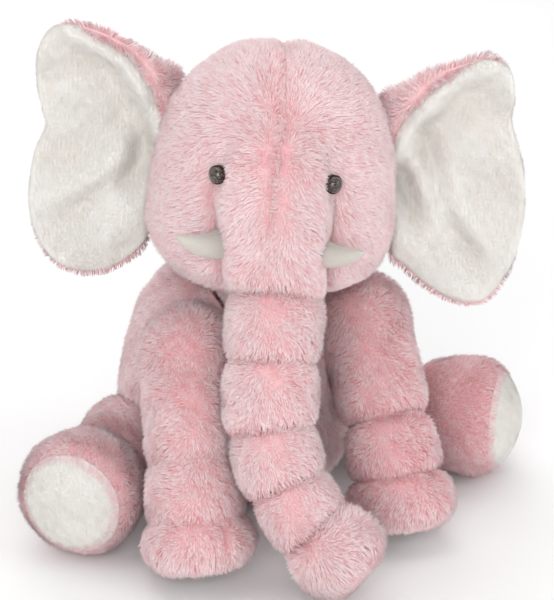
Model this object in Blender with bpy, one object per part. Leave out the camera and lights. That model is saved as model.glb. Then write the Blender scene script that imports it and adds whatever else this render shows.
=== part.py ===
"""A sitting plush elephant: sewn fur covers over fibre stuffing, with a head, ears, trunk, legs and tail.

Metres, +Z up. The toy sits on the XY plane and its body faces -Y, so its own left side is at +X.
The head group is laid out facing straight ahead about the middle of the skull, then turned as one by HEAD.
Run it with: blender --background --python part.py
"""

import math

import bmesh
import bpy
from mathutils import Matrix, Vector

# Cloth and clearances
GAP = 0.0004  # between a cover and what fills it
WALL = 0.005  # backing cloth and pile of the pink plush
NAP_WALL = 0.0024  # white short-pile cloth
SEAM_GAP = 0.0004  # between two panels of one cover
SOCKET_GAP = 0.0013  # between a limb's round end and the hollow it turns in, at their corners

# Body: height of each ring, half width, half depth and how far back its middle is
BODY_RINGS = (
    (0.000, 0.064, 0.060, 0.000),
    (0.010, 0.081, 0.074, 0.000),
    (0.032, 0.095, 0.085, 0.000),
    (0.062, 0.101, 0.089, 0.000),
    (0.098, 0.102, 0.089, -0.002),
    (0.132, 0.096, 0.084, -0.005),
    (0.160, 0.086, 0.076, -0.006),
    (0.184, 0.070, 0.062, -0.006),
    (0.200, 0.046, 0.041, -0.006),
)
BODY_TOP = 0.206
BAG_RADIUS = 0.052
BAG_TOP = 0.036

# Neck
NECK = Vector((-0.004, -0.050, 0.192))
NECK_RADIUS = 0.038
HEAD_ROOM = 0.009  # clear space between the head and the body, for nodding

# Head, about the middle of the skull: height of each ring, half width, half depth
HEAD_CENTRE = Vector((-0.002, -0.068, 0.290))
HEAD_YAW = math.radians(-28.0)
HEAD_ROLL = math.radians(5.0)
HEAD_RINGS = (
    (-0.096, 0.034, 0.032),
    (-0.085, 0.070, 0.064),
    (-0.069, 0.088, 0.080),
    (-0.045, 0.0955, 0.087),
    (-0.015, 0.094, 0.089),
    (0.018, 0.090, 0.087),
    (0.048, 0.081, 0.079),
    (0.070, 0.068, 0.066),
    (0.086, 0.049, 0.048),
    (0.095, 0.027, 0.027),
)
HEAD_HALF_HEIGHT = 0.098
# The bridge runs down the face into the trunk: middle of each ring and its radius
BRIDGE_RINGS = (
    ((0.000, -0.044, 0.046), 0.028),
    ((0.000, -0.055, 0.014), 0.044),
    ((0.002, -0.065, -0.024), 0.0455),
    ((0.006, -0.072, -0.052), 0.041),
    ((0.008, -0.0775, -0.0705), 0.031),
)

# Trunk: the middle of each sewn crease from the face down, then of the end of the tip
TRUNK_POINTS = (
    (0.009, -0.079, -0.076),
    (0.009, -0.101, -0.122),
    (0.013, -0.122, -0.168),
    (0.028, -0.140, -0.204),
    (0.052, -0.155, -0.233),
    (0.084, -0.170, -0.254),
)
ROLL_RADII = (0.0385, 0.0375, 0.0355, 0.0335, 0.0370)
CREASE_RADIUS = 0.0300
TRUNK_BALL = 0.0220
CREASE_HALF = 0.0024  # half the width of a crease where the cover ends
# How far along a roll each ring is, and how far from crease size to full size
ROLL_SHARES = ((0.0, 0.0), (0.16, 0.76), (0.50, 1.0), (0.84, 0.76), (1.0, 0.0))
TIP_SHARES = ((0.0, 0.0), (0.14, 0.60), (0.40, 0.90), (0.75, 1.0), (1.0, 0.80))

# Front legs: middle of the sole for each side
SHOULDER = Vector((0.077, -0.070, 0.148))
FRONT_SOLE = {"left": Vector((0.060, -0.168, 0.017)), "right": Vector((-0.112, -0.158, 0.017))}
FRONT_TILT = {"left": math.radians(15.0), "right": math.radians(15.0)}
FRONT_RADII = (
    (0.10, 0.0365), (0.34, 0.0360), (0.52, 0.0325), (0.68, 0.0375),
    (0.80, 0.0365), (0.92, 0.0435), (1.0, 0.0400),
)
FRONT_BALL = 0.0365
FRONT_SPLAY = {"left": math.radians(12.0), "right": math.radians(5.0)}
SPLAY_SHARES = (0.0, 0.33, 0.67, 1.0)  # of the splay or lift, where room for the leg is cut
SOLE_THICKNESS = 0.0060

# Rear legs: middle of the pad for each side
HIP = Vector((0.098, 0.000, 0.050))
REAR_PAD = {"left": Vector((0.196, -0.098, 0.0495)), "right": Vector((-0.186, -0.082, 0.0495))}
REAR_RADII = ((0.16, 0.0380), (0.44, 0.0375), (0.70, 0.0465), (0.90, 0.0485), (1.0, 0.0420))
REAR_BALL = 0.0385
REAR_LIFT = math.radians(18.0)

# Face
EYE = Vector((0.0430, -0.0785, 0.0125))
EYE_RADIUS = 0.0066
EYE_POST_RADIUS = 0.0019
WASHER_RADIUS = 0.0065
WASHER_THICKNESS = 0.0016
TUSK_ROOT = Vector((0.036, -0.080, -0.038))
TUSK_TIP = Vector((0.0690, -0.108, -0.0275))
TUSK_RADIUS = 0.0125
TUSK_WALL = 0.0018

# Ears: hinge line down the side of the head, and the outline as (outward, up)
EAR_HINGE_TOP = Vector((0.0815, 0.012, 0.062))
EAR_HINGE_BOTTOM = Vector((0.0985, 0.012, -0.040))
EAR_OUTLINE = (
    (0.084, 0.070), (0.106, 0.081), (0.126, 0.092), (0.146, 0.102), (0.163, 0.101), (0.176, 0.089),
    (0.182, 0.072), (0.181, 0.053), (0.178, 0.034), (0.182, 0.014), (0.190, -0.008), (0.195, -0.030),
    (0.193, -0.052), (0.182, -0.072), (0.164, -0.086), (0.140, -0.093), (0.118, -0.088), (0.105, -0.070),
)
EAR_CUP = 0.020
EAR_BACK_WALL = 0.0044
EAR_SHIFT = 0.0010  # how far the seam between the two panels lies in front of the hinge line
EAR_HINGE_RADIUS = 0.0042

# Tail and label
TAIL_ROOT = Vector((0.0, 0.0885, 0.078))
TAIL_END = Vector((0.0, 0.112, 0.014))
TAIL_RADIUS = 0.0085
TAIL_RADII = ((0.3, 0.0085), (0.7, 0.0090), (0.95, 0.0080), (1.0, 0.0050))
LABEL_SIZE = Vector((0.018, 0.024, 0.0008))
LABEL_START = 0.0805  # how far behind the body's middle the ribbon leaves its seam

# Cloths: base colour and roughness
PINK = ((0.82, 0.50, 0.55), 0.95)
WHITE_NAP = ((0.88, 0.85, 0.82), 0.90)
FIBRE = ((0.93, 0.93, 0.92), 1.0)
BAG_CLOTH = ((0.80, 0.78, 0.72), 0.90)
TUSK_CLOTH = ((0.80, 0.76, 0.69), 0.85)
LABEL_CLOTH = ((0.94, 0.94, 0.93), 0.60)
EYE_PLASTIC = ((0.06, 0.05, 0.05), 0.12)
WASHER_PLASTIC = ((0.85, 0.85, 0.83), 0.50)

SIDES = (("left", 1.0), ("right", -1.0))
ROUND = 14
HEAD = (
    Matrix.Translation(HEAD_CENTRE)
    @ Matrix.Rotation(HEAD_YAW, 4, "Z")
    @ Matrix.Rotation(HEAD_ROLL, 4, "Y")
)


# ---------------------------------------------------------------- scene helpers

def clear_scene():
    for thing in list(bpy.data.objects):
        bpy.data.objects.remove(thing)


def make_material(name, colour, roughness):
    made = bpy.data.materials.new(name)
    made.use_nodes = True
    shader = made.node_tree.nodes["Principled BSDF"]
    shader.inputs["Base Color"].default_value = (*colour, 1.0)
    shader.inputs["Roughness"].default_value = roughness
    return made


def joint_empty(name, place, parent=None):
    """The pivot of a moving piece. Its nodes, and the joints further out, are parented to it."""
    made = bpy.data.objects.new(name, None)
    made.empty_display_size = 0.02
    made.location = place if parent is None else place - parent.matrix_world.translation
    made.parent = parent
    bpy.context.scene.collection.objects.link(made)
    bpy.context.view_layer.update()
    return made


def node(name, bm, colour, parent=None):
    """One named piece from a bmesh in world coordinates, with its origin on its parent's pivot."""
    bmesh.ops.recalc_face_normals(bm, faces=bm.faces)
    made = bpy.data.objects.new(name, bpy.data.meshes.new(name))
    if parent is not None:
        bm.transform(Matrix.Translation(-parent.matrix_world.translation))
        made.parent = parent
    bm.to_mesh(made.data)
    bm.free()
    made.data.shade_smooth()
    made.data.set_sharp_from_angle(angle=math.radians(50))
    made.data.materials.append(make_material(name + "_cloth", *colour))
    bpy.context.scene.collection.objects.link(made)
    return made


def cutter(name, bm):
    bmesh.ops.recalc_face_normals(bm, faces=bm.faces)
    made = bpy.data.objects.new(name, bpy.data.meshes.new(name))
    bm.to_mesh(made.data)
    bm.free()
    bpy.context.scene.collection.objects.link(made)
    made.hide_render = True
    made.display_type = "WIRE"
    return made


def boolean(target, others, operation="DIFFERENCE"):
    for other in others:
        made = target.modifiers.new(operation.lower(), "BOOLEAN")
        made.operation = operation
        made.object = other
        made.solver = "EXACT"


# ---------------------------------------------------------------- shapes

def ring(centre, normal, half_width, half_depth=None):
    """A ring is its middle, the way it faces, and its two half sizes."""
    return (Vector(centre), Vector(normal).normalized(), half_width, half_depth or half_width)


def grown(rings, amount):
    return [(centre, normal, width + amount, depth + amount) for centre, normal, width, depth in rings]


def surface(rings, poles=None, reference=Vector((1.0, 0.0, 0.0)), count=ROUND):
    """A closed skin over rings. With poles it closes on one at each end, and without them the last ring joins
    the first, as in a tube with a wall."""
    bm = bmesh.new()
    turn = 2.0 * math.pi / count
    made = []
    for centre, normal, width, depth in rings:
        side = (reference - normal * reference.dot(normal)).normalized()
        other = normal.cross(side)
        made.append([
            bm.verts.new(centre + side * width * math.cos(k * turn) + other * depth * math.sin(k * turn))
            for k in range(count)
        ])
    pairs = list(zip(made, made[1:]))
    if poles is None:
        pairs.append((made[-1], made[0]))
    for first, second in pairs:
        for k in range(count):
            after = (k + 1) % count
            bm.faces.new((first[k], first[after], second[after], second[k]))
    if poles is not None:
        for end, pole in ((made[0], poles[0]), (made[-1], poles[1])):
            middle = bm.verts.new(pole)
            for k in range(count):
                bm.faces.new((end[k], end[(k + 1) % count], middle))
    return bm


def curve_at(points, t):
    """The point and the way forward at t on a Bezier curve."""
    level = [Vector(point) for point in points]
    while len(level) > 2:
        level = [first.lerp(second, t) for first, second in zip(level, level[1:])]
    return level[0].lerp(level[1], t), (level[1] - level[0]).normalized()


def dome(centre, normal, radius, turns=(35.0, 72.0)):
    """Rings of the round near end of a limb, from its pole outward. The normal points along the limb."""
    found = []
    for degrees in turns:
        angle = math.radians(degrees)
        found.append(ring(centre - normal * radius * math.cos(angle), normal, radius * math.sin(angle)))
    return found


def limb(curve, ball, radii, grow=0.0):
    """(rings, near pole, far middle) of a limb whose round end is centred on the curve's start."""
    start, forward = curve_at(curve, 0.0)
    rings = dome(start, forward, ball + grow)
    for t, radius in radii:
        point, along = curve_at(curve, t)
        rings.append(ring(point, along, radius + grow))
    return rings, start - forward * (ball + grow), curve_at(curve, 1.0)[0]


def sphere(centre, radius, segments=20, rings=12):
    bm = bmesh.new()
    bmesh.ops.create_uvsphere(bm, u_segments=segments, v_segments=rings, radius=radius)
    bm.transform(Matrix.Translation(centre))
    return bm


def box(low, high):
    bm = bmesh.new()
    bmesh.ops.create_cube(bm, size=1.0)
    size = Vector(high) - Vector(low)
    bm.transform(Matrix.Translation((Vector(low) + Vector(high)) / 2) @ Matrix.Diagonal((*size, 1.0)))
    return bm


def placed(bm, matrix):
    bm.transform(matrix)
    return bm


def about(pivot, axis, angle):
    return Matrix.Translation(pivot) @ Matrix.Rotation(angle, 4, axis) @ Matrix.Translation(-pivot)


# ---------------------------------------------------------------- body

def body_rings(grow):
    stretch = (BODY_TOP + 2.0 * grow) / BODY_TOP
    return [
        ring((0.0, back, height * stretch - grow), (0, 0, 1), width + grow, depth + grow)
        for height, width, depth, back in BODY_RINGS
    ]


def body_solid(grow, count=26):
    rings = body_rings(grow)
    back = BODY_RINGS[-1][3]
    return surface(rings, (Vector((0, 0, -grow)), Vector((0, back, BODY_TOP + grow))), count=count)


def bag_solid(grow, bottom):
    rings = [
        ring((0, 0, bottom), (0, 0, 1), BAG_RADIUS * 0.86 + grow),
        ring((0, 0, 0.012), (0, 0, 1), BAG_RADIUS + grow),
        ring((0, 0, 0.024), (0, 0, 1), BAG_RADIUS + grow),
        ring((0, 0, 0.032 + grow), (0, 0, 1), BAG_RADIUS * 0.72 + grow),
    ]
    return surface(rings, (Vector((0, 0, bottom)), Vector((0, 0, BAG_TOP + grow))), count=24)


def build_body(cutters):
    skin = node("body_skin", body_solid(0.0), PINK)
    stuffing = node("body_stuffing", body_solid(-WALL - GAP), FIBRE)
    hollow = cutter("cut_body_hollow", body_solid(-WALL))
    bag_room = cutter("cut_bag_room", bag_solid(GAP, -0.004))
    boolean(skin, [hollow, *cutters])
    boolean(stuffing, [bag_room, *cutters])
    node("pellet_bag", bag_solid(0.0, WALL + GAP), BAG_CLOTH)


def build_label():
    place = Matrix.Translation((0.040, 0.0, 0.030)) @ Matrix.Rotation(math.radians(-8), 4, "Z")
    half_width, half_thickness = LABEL_SIZE.x / 2, LABEL_SIZE.z / 2
    low = (-half_width, LABEL_START, -half_thickness)
    high = (half_width, LABEL_START + LABEL_SIZE.y, half_thickness)
    node("care_label", placed(box(low, high), place), LABEL_CLOTH)


# ---------------------------------------------------------------- head

def head_rings(grow):
    stretch = 1.0 + grow / HEAD_HALF_HEIGHT
    return [
        ring((0, 0, height * stretch), (0, 0, 1), width + grow, depth + grow)
        for height, width, depth in HEAD_RINGS
    ]


def head_solid(grow, count=24):
    top = HEAD_HALF_HEIGHT + grow
    return placed(surface(head_rings(grow), (Vector((0, 0, -top)), Vector((0, 0, top))), count=count), HEAD)


def bridge_solid(grow):
    middles = [Vector(middle) for middle, _ in BRIDGE_RINGS]
    rings = []
    for k, (middle, (_, radius)) in enumerate(zip(middles, BRIDGE_RINGS)):
        along = (middles[min(k + 1, len(middles) - 1)] - middles[max(k - 1, 0)]).normalized()
        if k == len(middles) - 1:
            middle = middle + along * grow
        rings.append(ring(middle, along, radius + grow))
    first = middles[0] - rings[0][1] * (0.012 + grow)
    last = rings[-1][0] + rings[-1][1] * 0.002
    return placed(surface(rings, (first, last)), HEAD)


def eye_frame(side):
    """A frame at the middle of the eye's dome, with z straight out of the face."""
    middle = Vector((EYE.x * side, EYE.y, EYE.z))
    out = Vector((0.50 * side, -0.86, 0.10)).normalized()
    return HEAD @ Matrix.Translation(middle) @ out.to_track_quat("Z", "Y").to_matrix().to_4x4()


def along_z(profile, matrix, count=16):
    """A turned piece: (height, radius) pairs between two poles at the first and last heights."""
    rings = [ring((0, 0, height), (0, 0, 1), radius) for height, radius in profile[1:-1]]
    poles = (Vector((0, 0, profile[0][0])), Vector((0, 0, profile[-1][0])))
    return placed(surface(rings, poles, count=count), matrix)


def build_eye(name, side, parent):
    """A domed eye whose post goes through the cover to a washer."""
    place = eye_frame(side)
    post_end = -WALL - 0.0105
    washer_top = -WALL - 0.0060
    inner = EYE_POST_RADIUS + GAP
    eye = (
        (post_end, 0.0), (post_end, EYE_POST_RADIUS), (-0.0012, EYE_POST_RADIUS), (-0.0010, EYE_RADIUS),
        (0.0012, EYE_RADIUS), (0.0036, EYE_RADIUS * 0.80), (0.0052, EYE_RADIUS * 0.45), (0.0058, 0.0),
    )
    node(name + "_eye", along_z(eye, place), EYE_PLASTIC, parent)
    washer = [
        ring((0, 0, washer_top), (0, 0, 1), inner),
        ring((0, 0, washer_top), (0, 0, 1), WASHER_RADIUS),
        ring((0, 0, washer_top - WASHER_THICKNESS), (0, 0, 1), WASHER_RADIUS),
        ring((0, 0, washer_top - WASHER_THICKNESS), (0, 0, 1), inner),
    ]
    node(name + "_eye_washer", placed(surface(washer, count=16), place), WASHER_PLASTIC, parent)
    room = ((post_end - 0.0012, 0.0), (post_end - 0.0012, 0.0030), (washer_top - 0.0026, 0.0030),
            (washer_top - 0.0026, WASHER_RADIUS + 0.0006), (0.0, WASHER_RADIUS + 0.0006), (0.002, 0.0))
    hole = ((post_end, 0.0), (post_end, inner), (-0.0020, inner), (-0.0016, EYE_RADIUS + 0.0006),
            (0.012, EYE_RADIUS + 0.0006), (0.014, 0.0))
    washer_room = cutter(f"cut_{name}_washer_room", along_z(room, place))
    eye_hole = cutter(f"cut_{name}_eye_hole", along_z(hole, place))
    return washer_room, eye_hole


def build_tusk(name, side, parent, head_cutters):
    """A small curved horn of cream cloth, its base shaped to the face."""
    root = Vector((TUSK_ROOT.x * side, TUSK_ROOT.y, TUSK_ROOT.z))
    tip = Vector((TUSK_TIP.x * side, TUSK_TIP.y, TUSK_TIP.z))
    middle = root.lerp(tip, 0.5) + Vector((0.0, -0.004, -0.007))
    curve = (root, middle, tip)
    stations = ((0.0, 1.0), (0.35, 0.94), (0.60, 0.72), (0.82, 0.44), (0.95, 0.22))

    def horn(grow, pull, count):
        rings = []
        for t, share in stations[:count]:
            point, along = curve_at(curve, t)
            rings.append(ring(point, along, TUSK_RADIUS * share + grow))
        return rings, curve_at(curve, 1.0)[0] - rings[-1][1] * pull

    outer, outer_tip = horn(0.0, 0.0, 5)
    inner, inner_tip = horn(-TUSK_WALL, 0.0045, 4)
    core, core_tip = horn(-TUSK_WALL - GAP, 0.0055, 4)
    # The cover is a cup: its two tips are the poles, and the base ring joins its two sides.
    cup = surface(outer[::-1] + inner, (outer_tip, inner_tip), count=16)
    skin = node(name + "_tusk_skin", placed(cup, HEAD), TUSK_CLOTH, parent)
    filled = placed(surface(core, (root, core_tip), count=16), HEAD)
    stuffing = node(name + "_tusk_stuffing", filled, FIBRE, parent)
    boolean(skin, head_cutters)
    boolean(stuffing, head_cutters)


def build_head(parent, ear_grooves):
    outer_bridge = cutter("join_bridge_outer", bridge_solid(0.0))
    inner_bridge = cutter("join_bridge_inner", bridge_solid(-WALL))
    stuffing_bridge = cutter("join_bridge_stuffing", bridge_solid(-WALL - GAP))
    hollow = cutter("cut_head_hollow", head_solid(-WALL))
    boolean(hollow, [inner_bridge], "UNION")
    clear = cutter("cut_face_clear", head_solid(GAP))
    clear_bridge = cutter("cut_bridge_clear", bridge_solid(GAP))
    neck = cutter("cut_neck_in_head", sphere(NECK, NECK_RADIUS + SOCKET_GAP))
    trunk_root = HEAD @ Vector(TRUNK_POINTS[0])
    crease = cutter("cut_trunk_in_head", sphere(trunk_root, TRUNK_BALL + SOCKET_GAP + GAP))
    rooms, holes = [], []
    for name, side in SIDES:
        room, hole = build_eye(name, side, parent)
        rooms.append(room)
        holes.append(hole)
        build_tusk(name, side, parent, [clear, clear_bridge])
    stuffing = node("head_stuffing", head_solid(-WALL - GAP), FIBRE, parent)
    boolean(stuffing, [stuffing_bridge], "UNION")
    boolean(stuffing, [neck, crease, *rooms, *ear_grooves])
    for name, side in SIDES:
        skin = node(f"head_skin_{name}", head_solid(0.0), PINK, parent)
        boolean(skin, [outer_bridge], "UNION")
        edge = SEAM_GAP / 2 * side
        far = -0.16 * side
        half = box((min(edge, far), -0.2, -0.2), (max(edge, far), 0.2, 0.2))
        seam = cutter(f"cut_seam_{name}", placed(half, HEAD))
        boolean(skin, [hollow, neck, crease, *holes, *ear_grooves, seam])


# ---------------------------------------------------------------- ears

def ear_depth(out, up):
    """How far back the middle of the ear's thickness is: the blade is cupped, with its rim forward."""
    across = (out - 0.085) / 0.115
    rise = (up - 0.004) / 0.105
    rim = min(1.0, max(0.0, across) ** 2 * 0.8 + rise ** 2 * 0.8)
    return EAR_HINGE_TOP.y + EAR_CUP * (0.55 * max(0.0, across) - rim * min(1.0, 3.0 * max(0.0, across)))


def ear_panel(side, near, far):
    """One panel of the blade, between depths near and far in front of and behind the cupped mid surface."""
    hinge = EAR_HINGE_BOTTOM - EAR_HINGE_TOP
    root = [EAR_HINGE_TOP + hinge * (k / 6) for k in range(7)]
    outline = [Vector((out, up)) for out, up in EAR_OUTLINE]
    inner_edge = [Vector((point.x + 0.0005, point.z)) for point in root][::-1]
    loop = outline + inner_edge
    middle = Vector((0.145, 0.004))
    bm = bmesh.new()

    def sheet(depth):
        layers = []
        for share in (1.0, 0.84, 0.45):
            layer = []
            for point in loop:
                flat = middle + (point - middle) * share
                layer.append(bm.verts.new((flat.x * side, ear_depth(flat.x, flat.y) + depth, flat.y)))
            layers.append(layer)
        pole = bm.verts.new((middle.x * side, ear_depth(middle.x, middle.y) + depth, middle.y))
        for first, second in zip(layers, layers[1:]):
            for k in range(len(loop)):
                after = (k + 1) % len(loop)
                bm.faces.new((first[k], first[after], second[after], second[k]))
        for k in range(len(loop)):
            bm.faces.new((layers[-1][k], layers[-1][(k + 1) % len(loop)], pole))
        return layers[0]

    front = sheet(near)
    back = sheet(far)
    for k in range(len(loop)):
        after = (k + 1) % len(loop)
        bm.faces.new((front[k], front[after], back[after], back[k]))
    return placed(bm, HEAD)


def ear_groove(name, side):
    """The hollow in the side of the head that the ear's sewn edge turns in."""
    top = Vector((EAR_HINGE_TOP.x * side, EAR_HINGE_TOP.y, EAR_HINGE_TOP.z))
    bottom = Vector((EAR_HINGE_BOTTOM.x * side, EAR_HINGE_BOTTOM.y, EAR_HINGE_BOTTOM.z))
    along = (bottom - top).normalized()
    reach = EAR_HINGE_RADIUS + SOCKET_GAP + 0.0006
    rings = [ring(top - along * 0.006, along, reach), ring(bottom + along * 0.006, along, reach)]
    groove = surface(rings, (top - along * 0.008, bottom + along * 0.008), count=20)
    return cutter(f"cut_{name}_ear_groove", placed(groove, HEAD))


def build_ear(name, side, head_pivot):
    middle = (EAR_HINGE_TOP + EAR_HINGE_BOTTOM) / 2
    pivot = joint_empty(f"{name}_ear_hinge", HEAD @ Vector((middle.x * side, middle.y, middle.z)), head_pivot)
    front = -GAP / 2 - EAR_SHIFT
    back = GAP / 2 - EAR_SHIFT
    node(f"{name}_ear_front", ear_panel(side, front - NAP_WALL, front), WHITE_NAP, pivot)
    node(f"{name}_ear_back", ear_panel(side, back, back + EAR_BACK_WALL), PINK, pivot)


# ---------------------------------------------------------------- trunk

def trunk_ways():
    """The way the trunk faces at each crease and at the end of the tip."""
    points = [HEAD @ Vector(point) for point in TRUNK_POINTS]
    ways = [(points[1] - points[0]).normalized()]
    for before, here, after in zip(points, points[1:], points[2:]):
        ways.append(((here - before).normalized() + (after - here).normalized()).normalized())
    ways.append((points[-1] - points[-2]).normalized())
    return points, ways


def build_trunk(head_pivot):
    points, ways = trunk_ways()
    parent = head_pivot
    for k, radius in enumerate(ROLL_RADII):
        start, end = points[k], points[k + 1]
        tip = k == len(ROLL_RADII) - 1
        reach = (end - start).length * 0.36
        curve = (start, start + ways[k] * reach, end - ways[k + 1] * reach, end)
        first = CREASE_HALF / (end - start).length
        last, shares = (0.98, TIP_SHARES) if tip else (1.0 - first, ROLL_SHARES)
        outer = roll_rings(curve, radius, first, last, shares)
        core = dome(start, ways[k], TRUNK_BALL, (30.0, 60.0, 90.0)) + grown(outer, -WALL - GAP)
        near_pole = start - ways[k] * TRUNK_BALL
        pivot = joint_empty(f"trunk_bend_{k + 1}", start, parent)
        name = "trunk_tip" if tip else f"trunk_{k + 1}"
        if tip:
            hollow_end = moved_back(outer[-1], WALL)
            inner = grown(outer[:-1] + [hollow_end], -WALL)
            skin = surface(outer[::-1] + inner, (end, hollow_end[0]))
            core[-1] = grown([moved_back(outer[-1], WALL + GAP)], -WALL - GAP)[0]
            far_pole = core[-1][0]
        else:
            skin = surface(outer + grown(outer, -WALL)[::-1])
            socket = TRUNK_BALL + SOCKET_GAP
            core += dome(end, ways[k + 1], socket, (82.0, 56.0, 30.0))
            far_pole = end - ways[k + 1] * socket
        node(name + "_skin", skin, PINK, pivot)
        node(name + "_stuffing", surface(core, (near_pole, far_pole)), FIBRE, pivot)
        parent = pivot


def roll_rings(curve, radius, first, last, shares):
    """Rings of one puffed roll of the trunk. A share is (how far along, how far from crease to full size)."""
    rings = []
    for share, size in shares:
        point, along = curve_at(curve, first + (last - first) * share)
        rings.append(ring(point, along, CREASE_RADIUS + (radius - CREASE_RADIUS) * size))
    return rings


def moved_back(one_ring, distance):
    centre, normal, width, depth = one_ring
    return (centre - normal * distance, normal, width, depth)


# ---------------------------------------------------------------- legs and tail

def front_curve(name, side):
    pivot = Vector((SHOULDER.x * side, SHOULDER.y, SHOULDER.z))
    sole = FRONT_SOLE[name]
    out = Vector((0.0, -math.sin(FRONT_TILT[name]), -math.cos(FRONT_TILT[name])))
    return (pivot, sole - out * 0.080, sole)


def rear_curve(name, side):
    pivot = Vector((HIP.x * side, HIP.y, HIP.z))
    pad = REAR_PAD[name]
    return (pivot, (pivot + pad) / 2, pad)


def limb_solid(curve, ball, radii, grow):
    rings, near, far = limb(curve, ball, radii, grow)
    return surface(rings, (near, far))


def build_leg(name, curve, ball, radii, parent):
    """A leg: a cover open at the foot, its stuffing, and a white sole closing it."""
    pivot = joint_empty(name + "_pivot", curve[0], parent)
    outer, outer_near, _ = limb(curve, ball, radii)
    inner, inner_near, _ = limb(curve, ball, radii, -WALL)
    node(name + "_skin", surface(outer + inner[::-1], (outer_near, inner_near)), PINK, pivot)
    node(name + "_stuffing", limb_solid(curve, ball, radii, -WALL - GAP), FIBRE, pivot)
    foot, out = curve_at(curve, 1.0)
    radius = outer[-1][2]
    profile = ((GAP, radius - 0.0015), (0.0024, radius - 0.0003), (SOLE_THICKNESS, radius - 0.0042))
    rings = [ring(foot + out * height, out, size) for height, size in profile]
    poles = (foot + out * GAP, foot + out * (SOLE_THICKNESS + 0.0012))
    node(name + "_sole", surface(rings, poles), WHITE_NAP, pivot)


def tail_curve():
    return (TAIL_ROOT, (TAIL_ROOT + TAIL_END) / 2 + Vector((0.0, 0.010, 0.004)), TAIL_END)


def swept_cutters(name, curve, ball, radii, axis, angles):
    """The room that a limb moves through, one cutter for each angle."""
    made = [cutter(f"cut_{name}_socket", sphere(curve[0], ball + SOCKET_GAP))]
    for angle in angles:
        bm = placed(limb_solid(curve, ball, radii, GAP), about(curve[0], axis, angle))
        made.append(cutter(f"cut_{name}_{round(math.degrees(angle))}", bm))
    return made


def head_room():
    """The room above the body that the head turns and nods in."""
    return cutter("cut_head_room", head_solid(HEAD_ROOM))


def main():
    clear_scene()
    head_pivot = joint_empty("neck_pivot", NECK)
    room = [head_room(), cutter("cut_neck_in_body", sphere(NECK, NECK_RADIUS + SOCKET_GAP))]
    for name, side in SIDES:
        front = front_curve(name, side)
        rear = rear_curve(name, side)
        lift = (rear[2] - rear[0]).cross(Vector((0, 0, 1))).normalized()
        splay = Vector((0.0, -1.0, 0.0)) * side
        splays = [share * FRONT_SPLAY[name] for share in SPLAY_SHARES]
        lifts = [share * REAR_LIFT for share in SPLAY_SHARES]
        room += swept_cutters(f"{name}_front_leg", front, FRONT_BALL, FRONT_RADII, splay, splays)
        room += swept_cutters(f"{name}_rear_leg", rear, REAR_BALL, REAR_RADII, lift, lifts)
        build_leg(f"{name}_front_leg", front, FRONT_BALL, FRONT_RADII, None)
        build_leg(f"{name}_rear_leg", rear, REAR_BALL, REAR_RADII, None)
    tail = tail_curve()
    room += swept_cutters("tail", tail, TAIL_RADIUS, TAIL_RADII, Vector((1.0, 0.0, 0.0)), (0.0,))
    node("tail", limb_solid(tail, TAIL_RADIUS, TAIL_RADII, 0.0), PINK, joint_empty("tail_pivot", TAIL_ROOT))
    build_body(room)
    build_label()
    node("neck_stuffing", sphere(NECK, NECK_RADIUS, 16, 10), FIBRE, joint_empty("neck_turn_pivot", NECK))
    build_head(head_pivot, [ear_groove(name, side) for name, side in SIDES])
    for name, side in SIDES:
        build_ear(name, side, head_pivot)
    build_trunk(head_pivot)


main()
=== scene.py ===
"""Looks of the sitting plush elephant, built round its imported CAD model.

Each cover is a soft form laid just inside its CAD solid, with its sewn creases pressed in. Real fur grows on
it: tapered strands combed, swirled and gathered into tufts. Metres, +Z up, the body facing -Y.
"""

import math
from collections import namedtuple

import bmesh
import bpy
import numpy as np
from mathutils import Matrix, Vector
from mathutils.bvhtree import BVHTree


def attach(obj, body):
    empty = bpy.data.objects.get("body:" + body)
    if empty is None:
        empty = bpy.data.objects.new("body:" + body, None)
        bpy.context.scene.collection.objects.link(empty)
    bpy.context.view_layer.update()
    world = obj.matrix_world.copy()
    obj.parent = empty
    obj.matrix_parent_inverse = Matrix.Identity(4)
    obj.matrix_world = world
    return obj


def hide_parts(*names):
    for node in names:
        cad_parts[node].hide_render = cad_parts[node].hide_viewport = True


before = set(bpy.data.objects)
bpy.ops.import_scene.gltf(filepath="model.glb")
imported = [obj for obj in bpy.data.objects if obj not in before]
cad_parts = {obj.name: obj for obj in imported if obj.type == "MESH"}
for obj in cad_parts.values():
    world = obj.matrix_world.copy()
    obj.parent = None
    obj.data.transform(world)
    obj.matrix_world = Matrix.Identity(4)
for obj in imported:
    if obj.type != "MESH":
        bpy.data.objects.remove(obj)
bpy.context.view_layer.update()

# The head's own frame, as the CAD has it
HEAD_CENTRE = Vector((-0.002, -0.068, 0.290))
HEAD = (
    Matrix.Translation(HEAD_CENTRE)
    @ Matrix.Rotation(math.radians(-28.0), 4, "Z")
    @ Matrix.Rotation(math.radians(5.0), 4, "Y")
)
SIDES = (("left", 1.0), ("right", -1.0))

SINK = 0.0046  # how far the cloth lies inside the CAD surface, which is the face of the pile
MOST_STRANDS = 21000  # in one object
MOST_STRAIGHT = 63000  # in one object, where they have no bend

# Tones of each pile from deep to pale, linear colours
PINK_TONES = (
    (0.872, 0.450, 0.475),
    (0.903, 0.545, 0.567),
    (0.926, 0.625, 0.643),
    (0.942, 0.692, 0.707),
    (0.954, 0.753, 0.766),
    (0.964, 0.805, 0.816),
)
WHITE_TONES = (
    (0.835, 0.780, 0.708),
    (0.866, 0.828, 0.772),
    (0.888, 0.862, 0.820),
    (0.904, 0.886, 0.852),
)


# ---------------------------------------------------------------- materials

def new_material(name):
    """(a material, its node tree, its shader)."""
    made = bpy.data.materials.new(name)
    made.use_nodes = True
    return made, made.node_tree, made.node_tree.nodes["Principled BSDF"]


def set_inputs(node, values):
    for socket, value in values.items():
        node.inputs[socket].default_value = value


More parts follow.
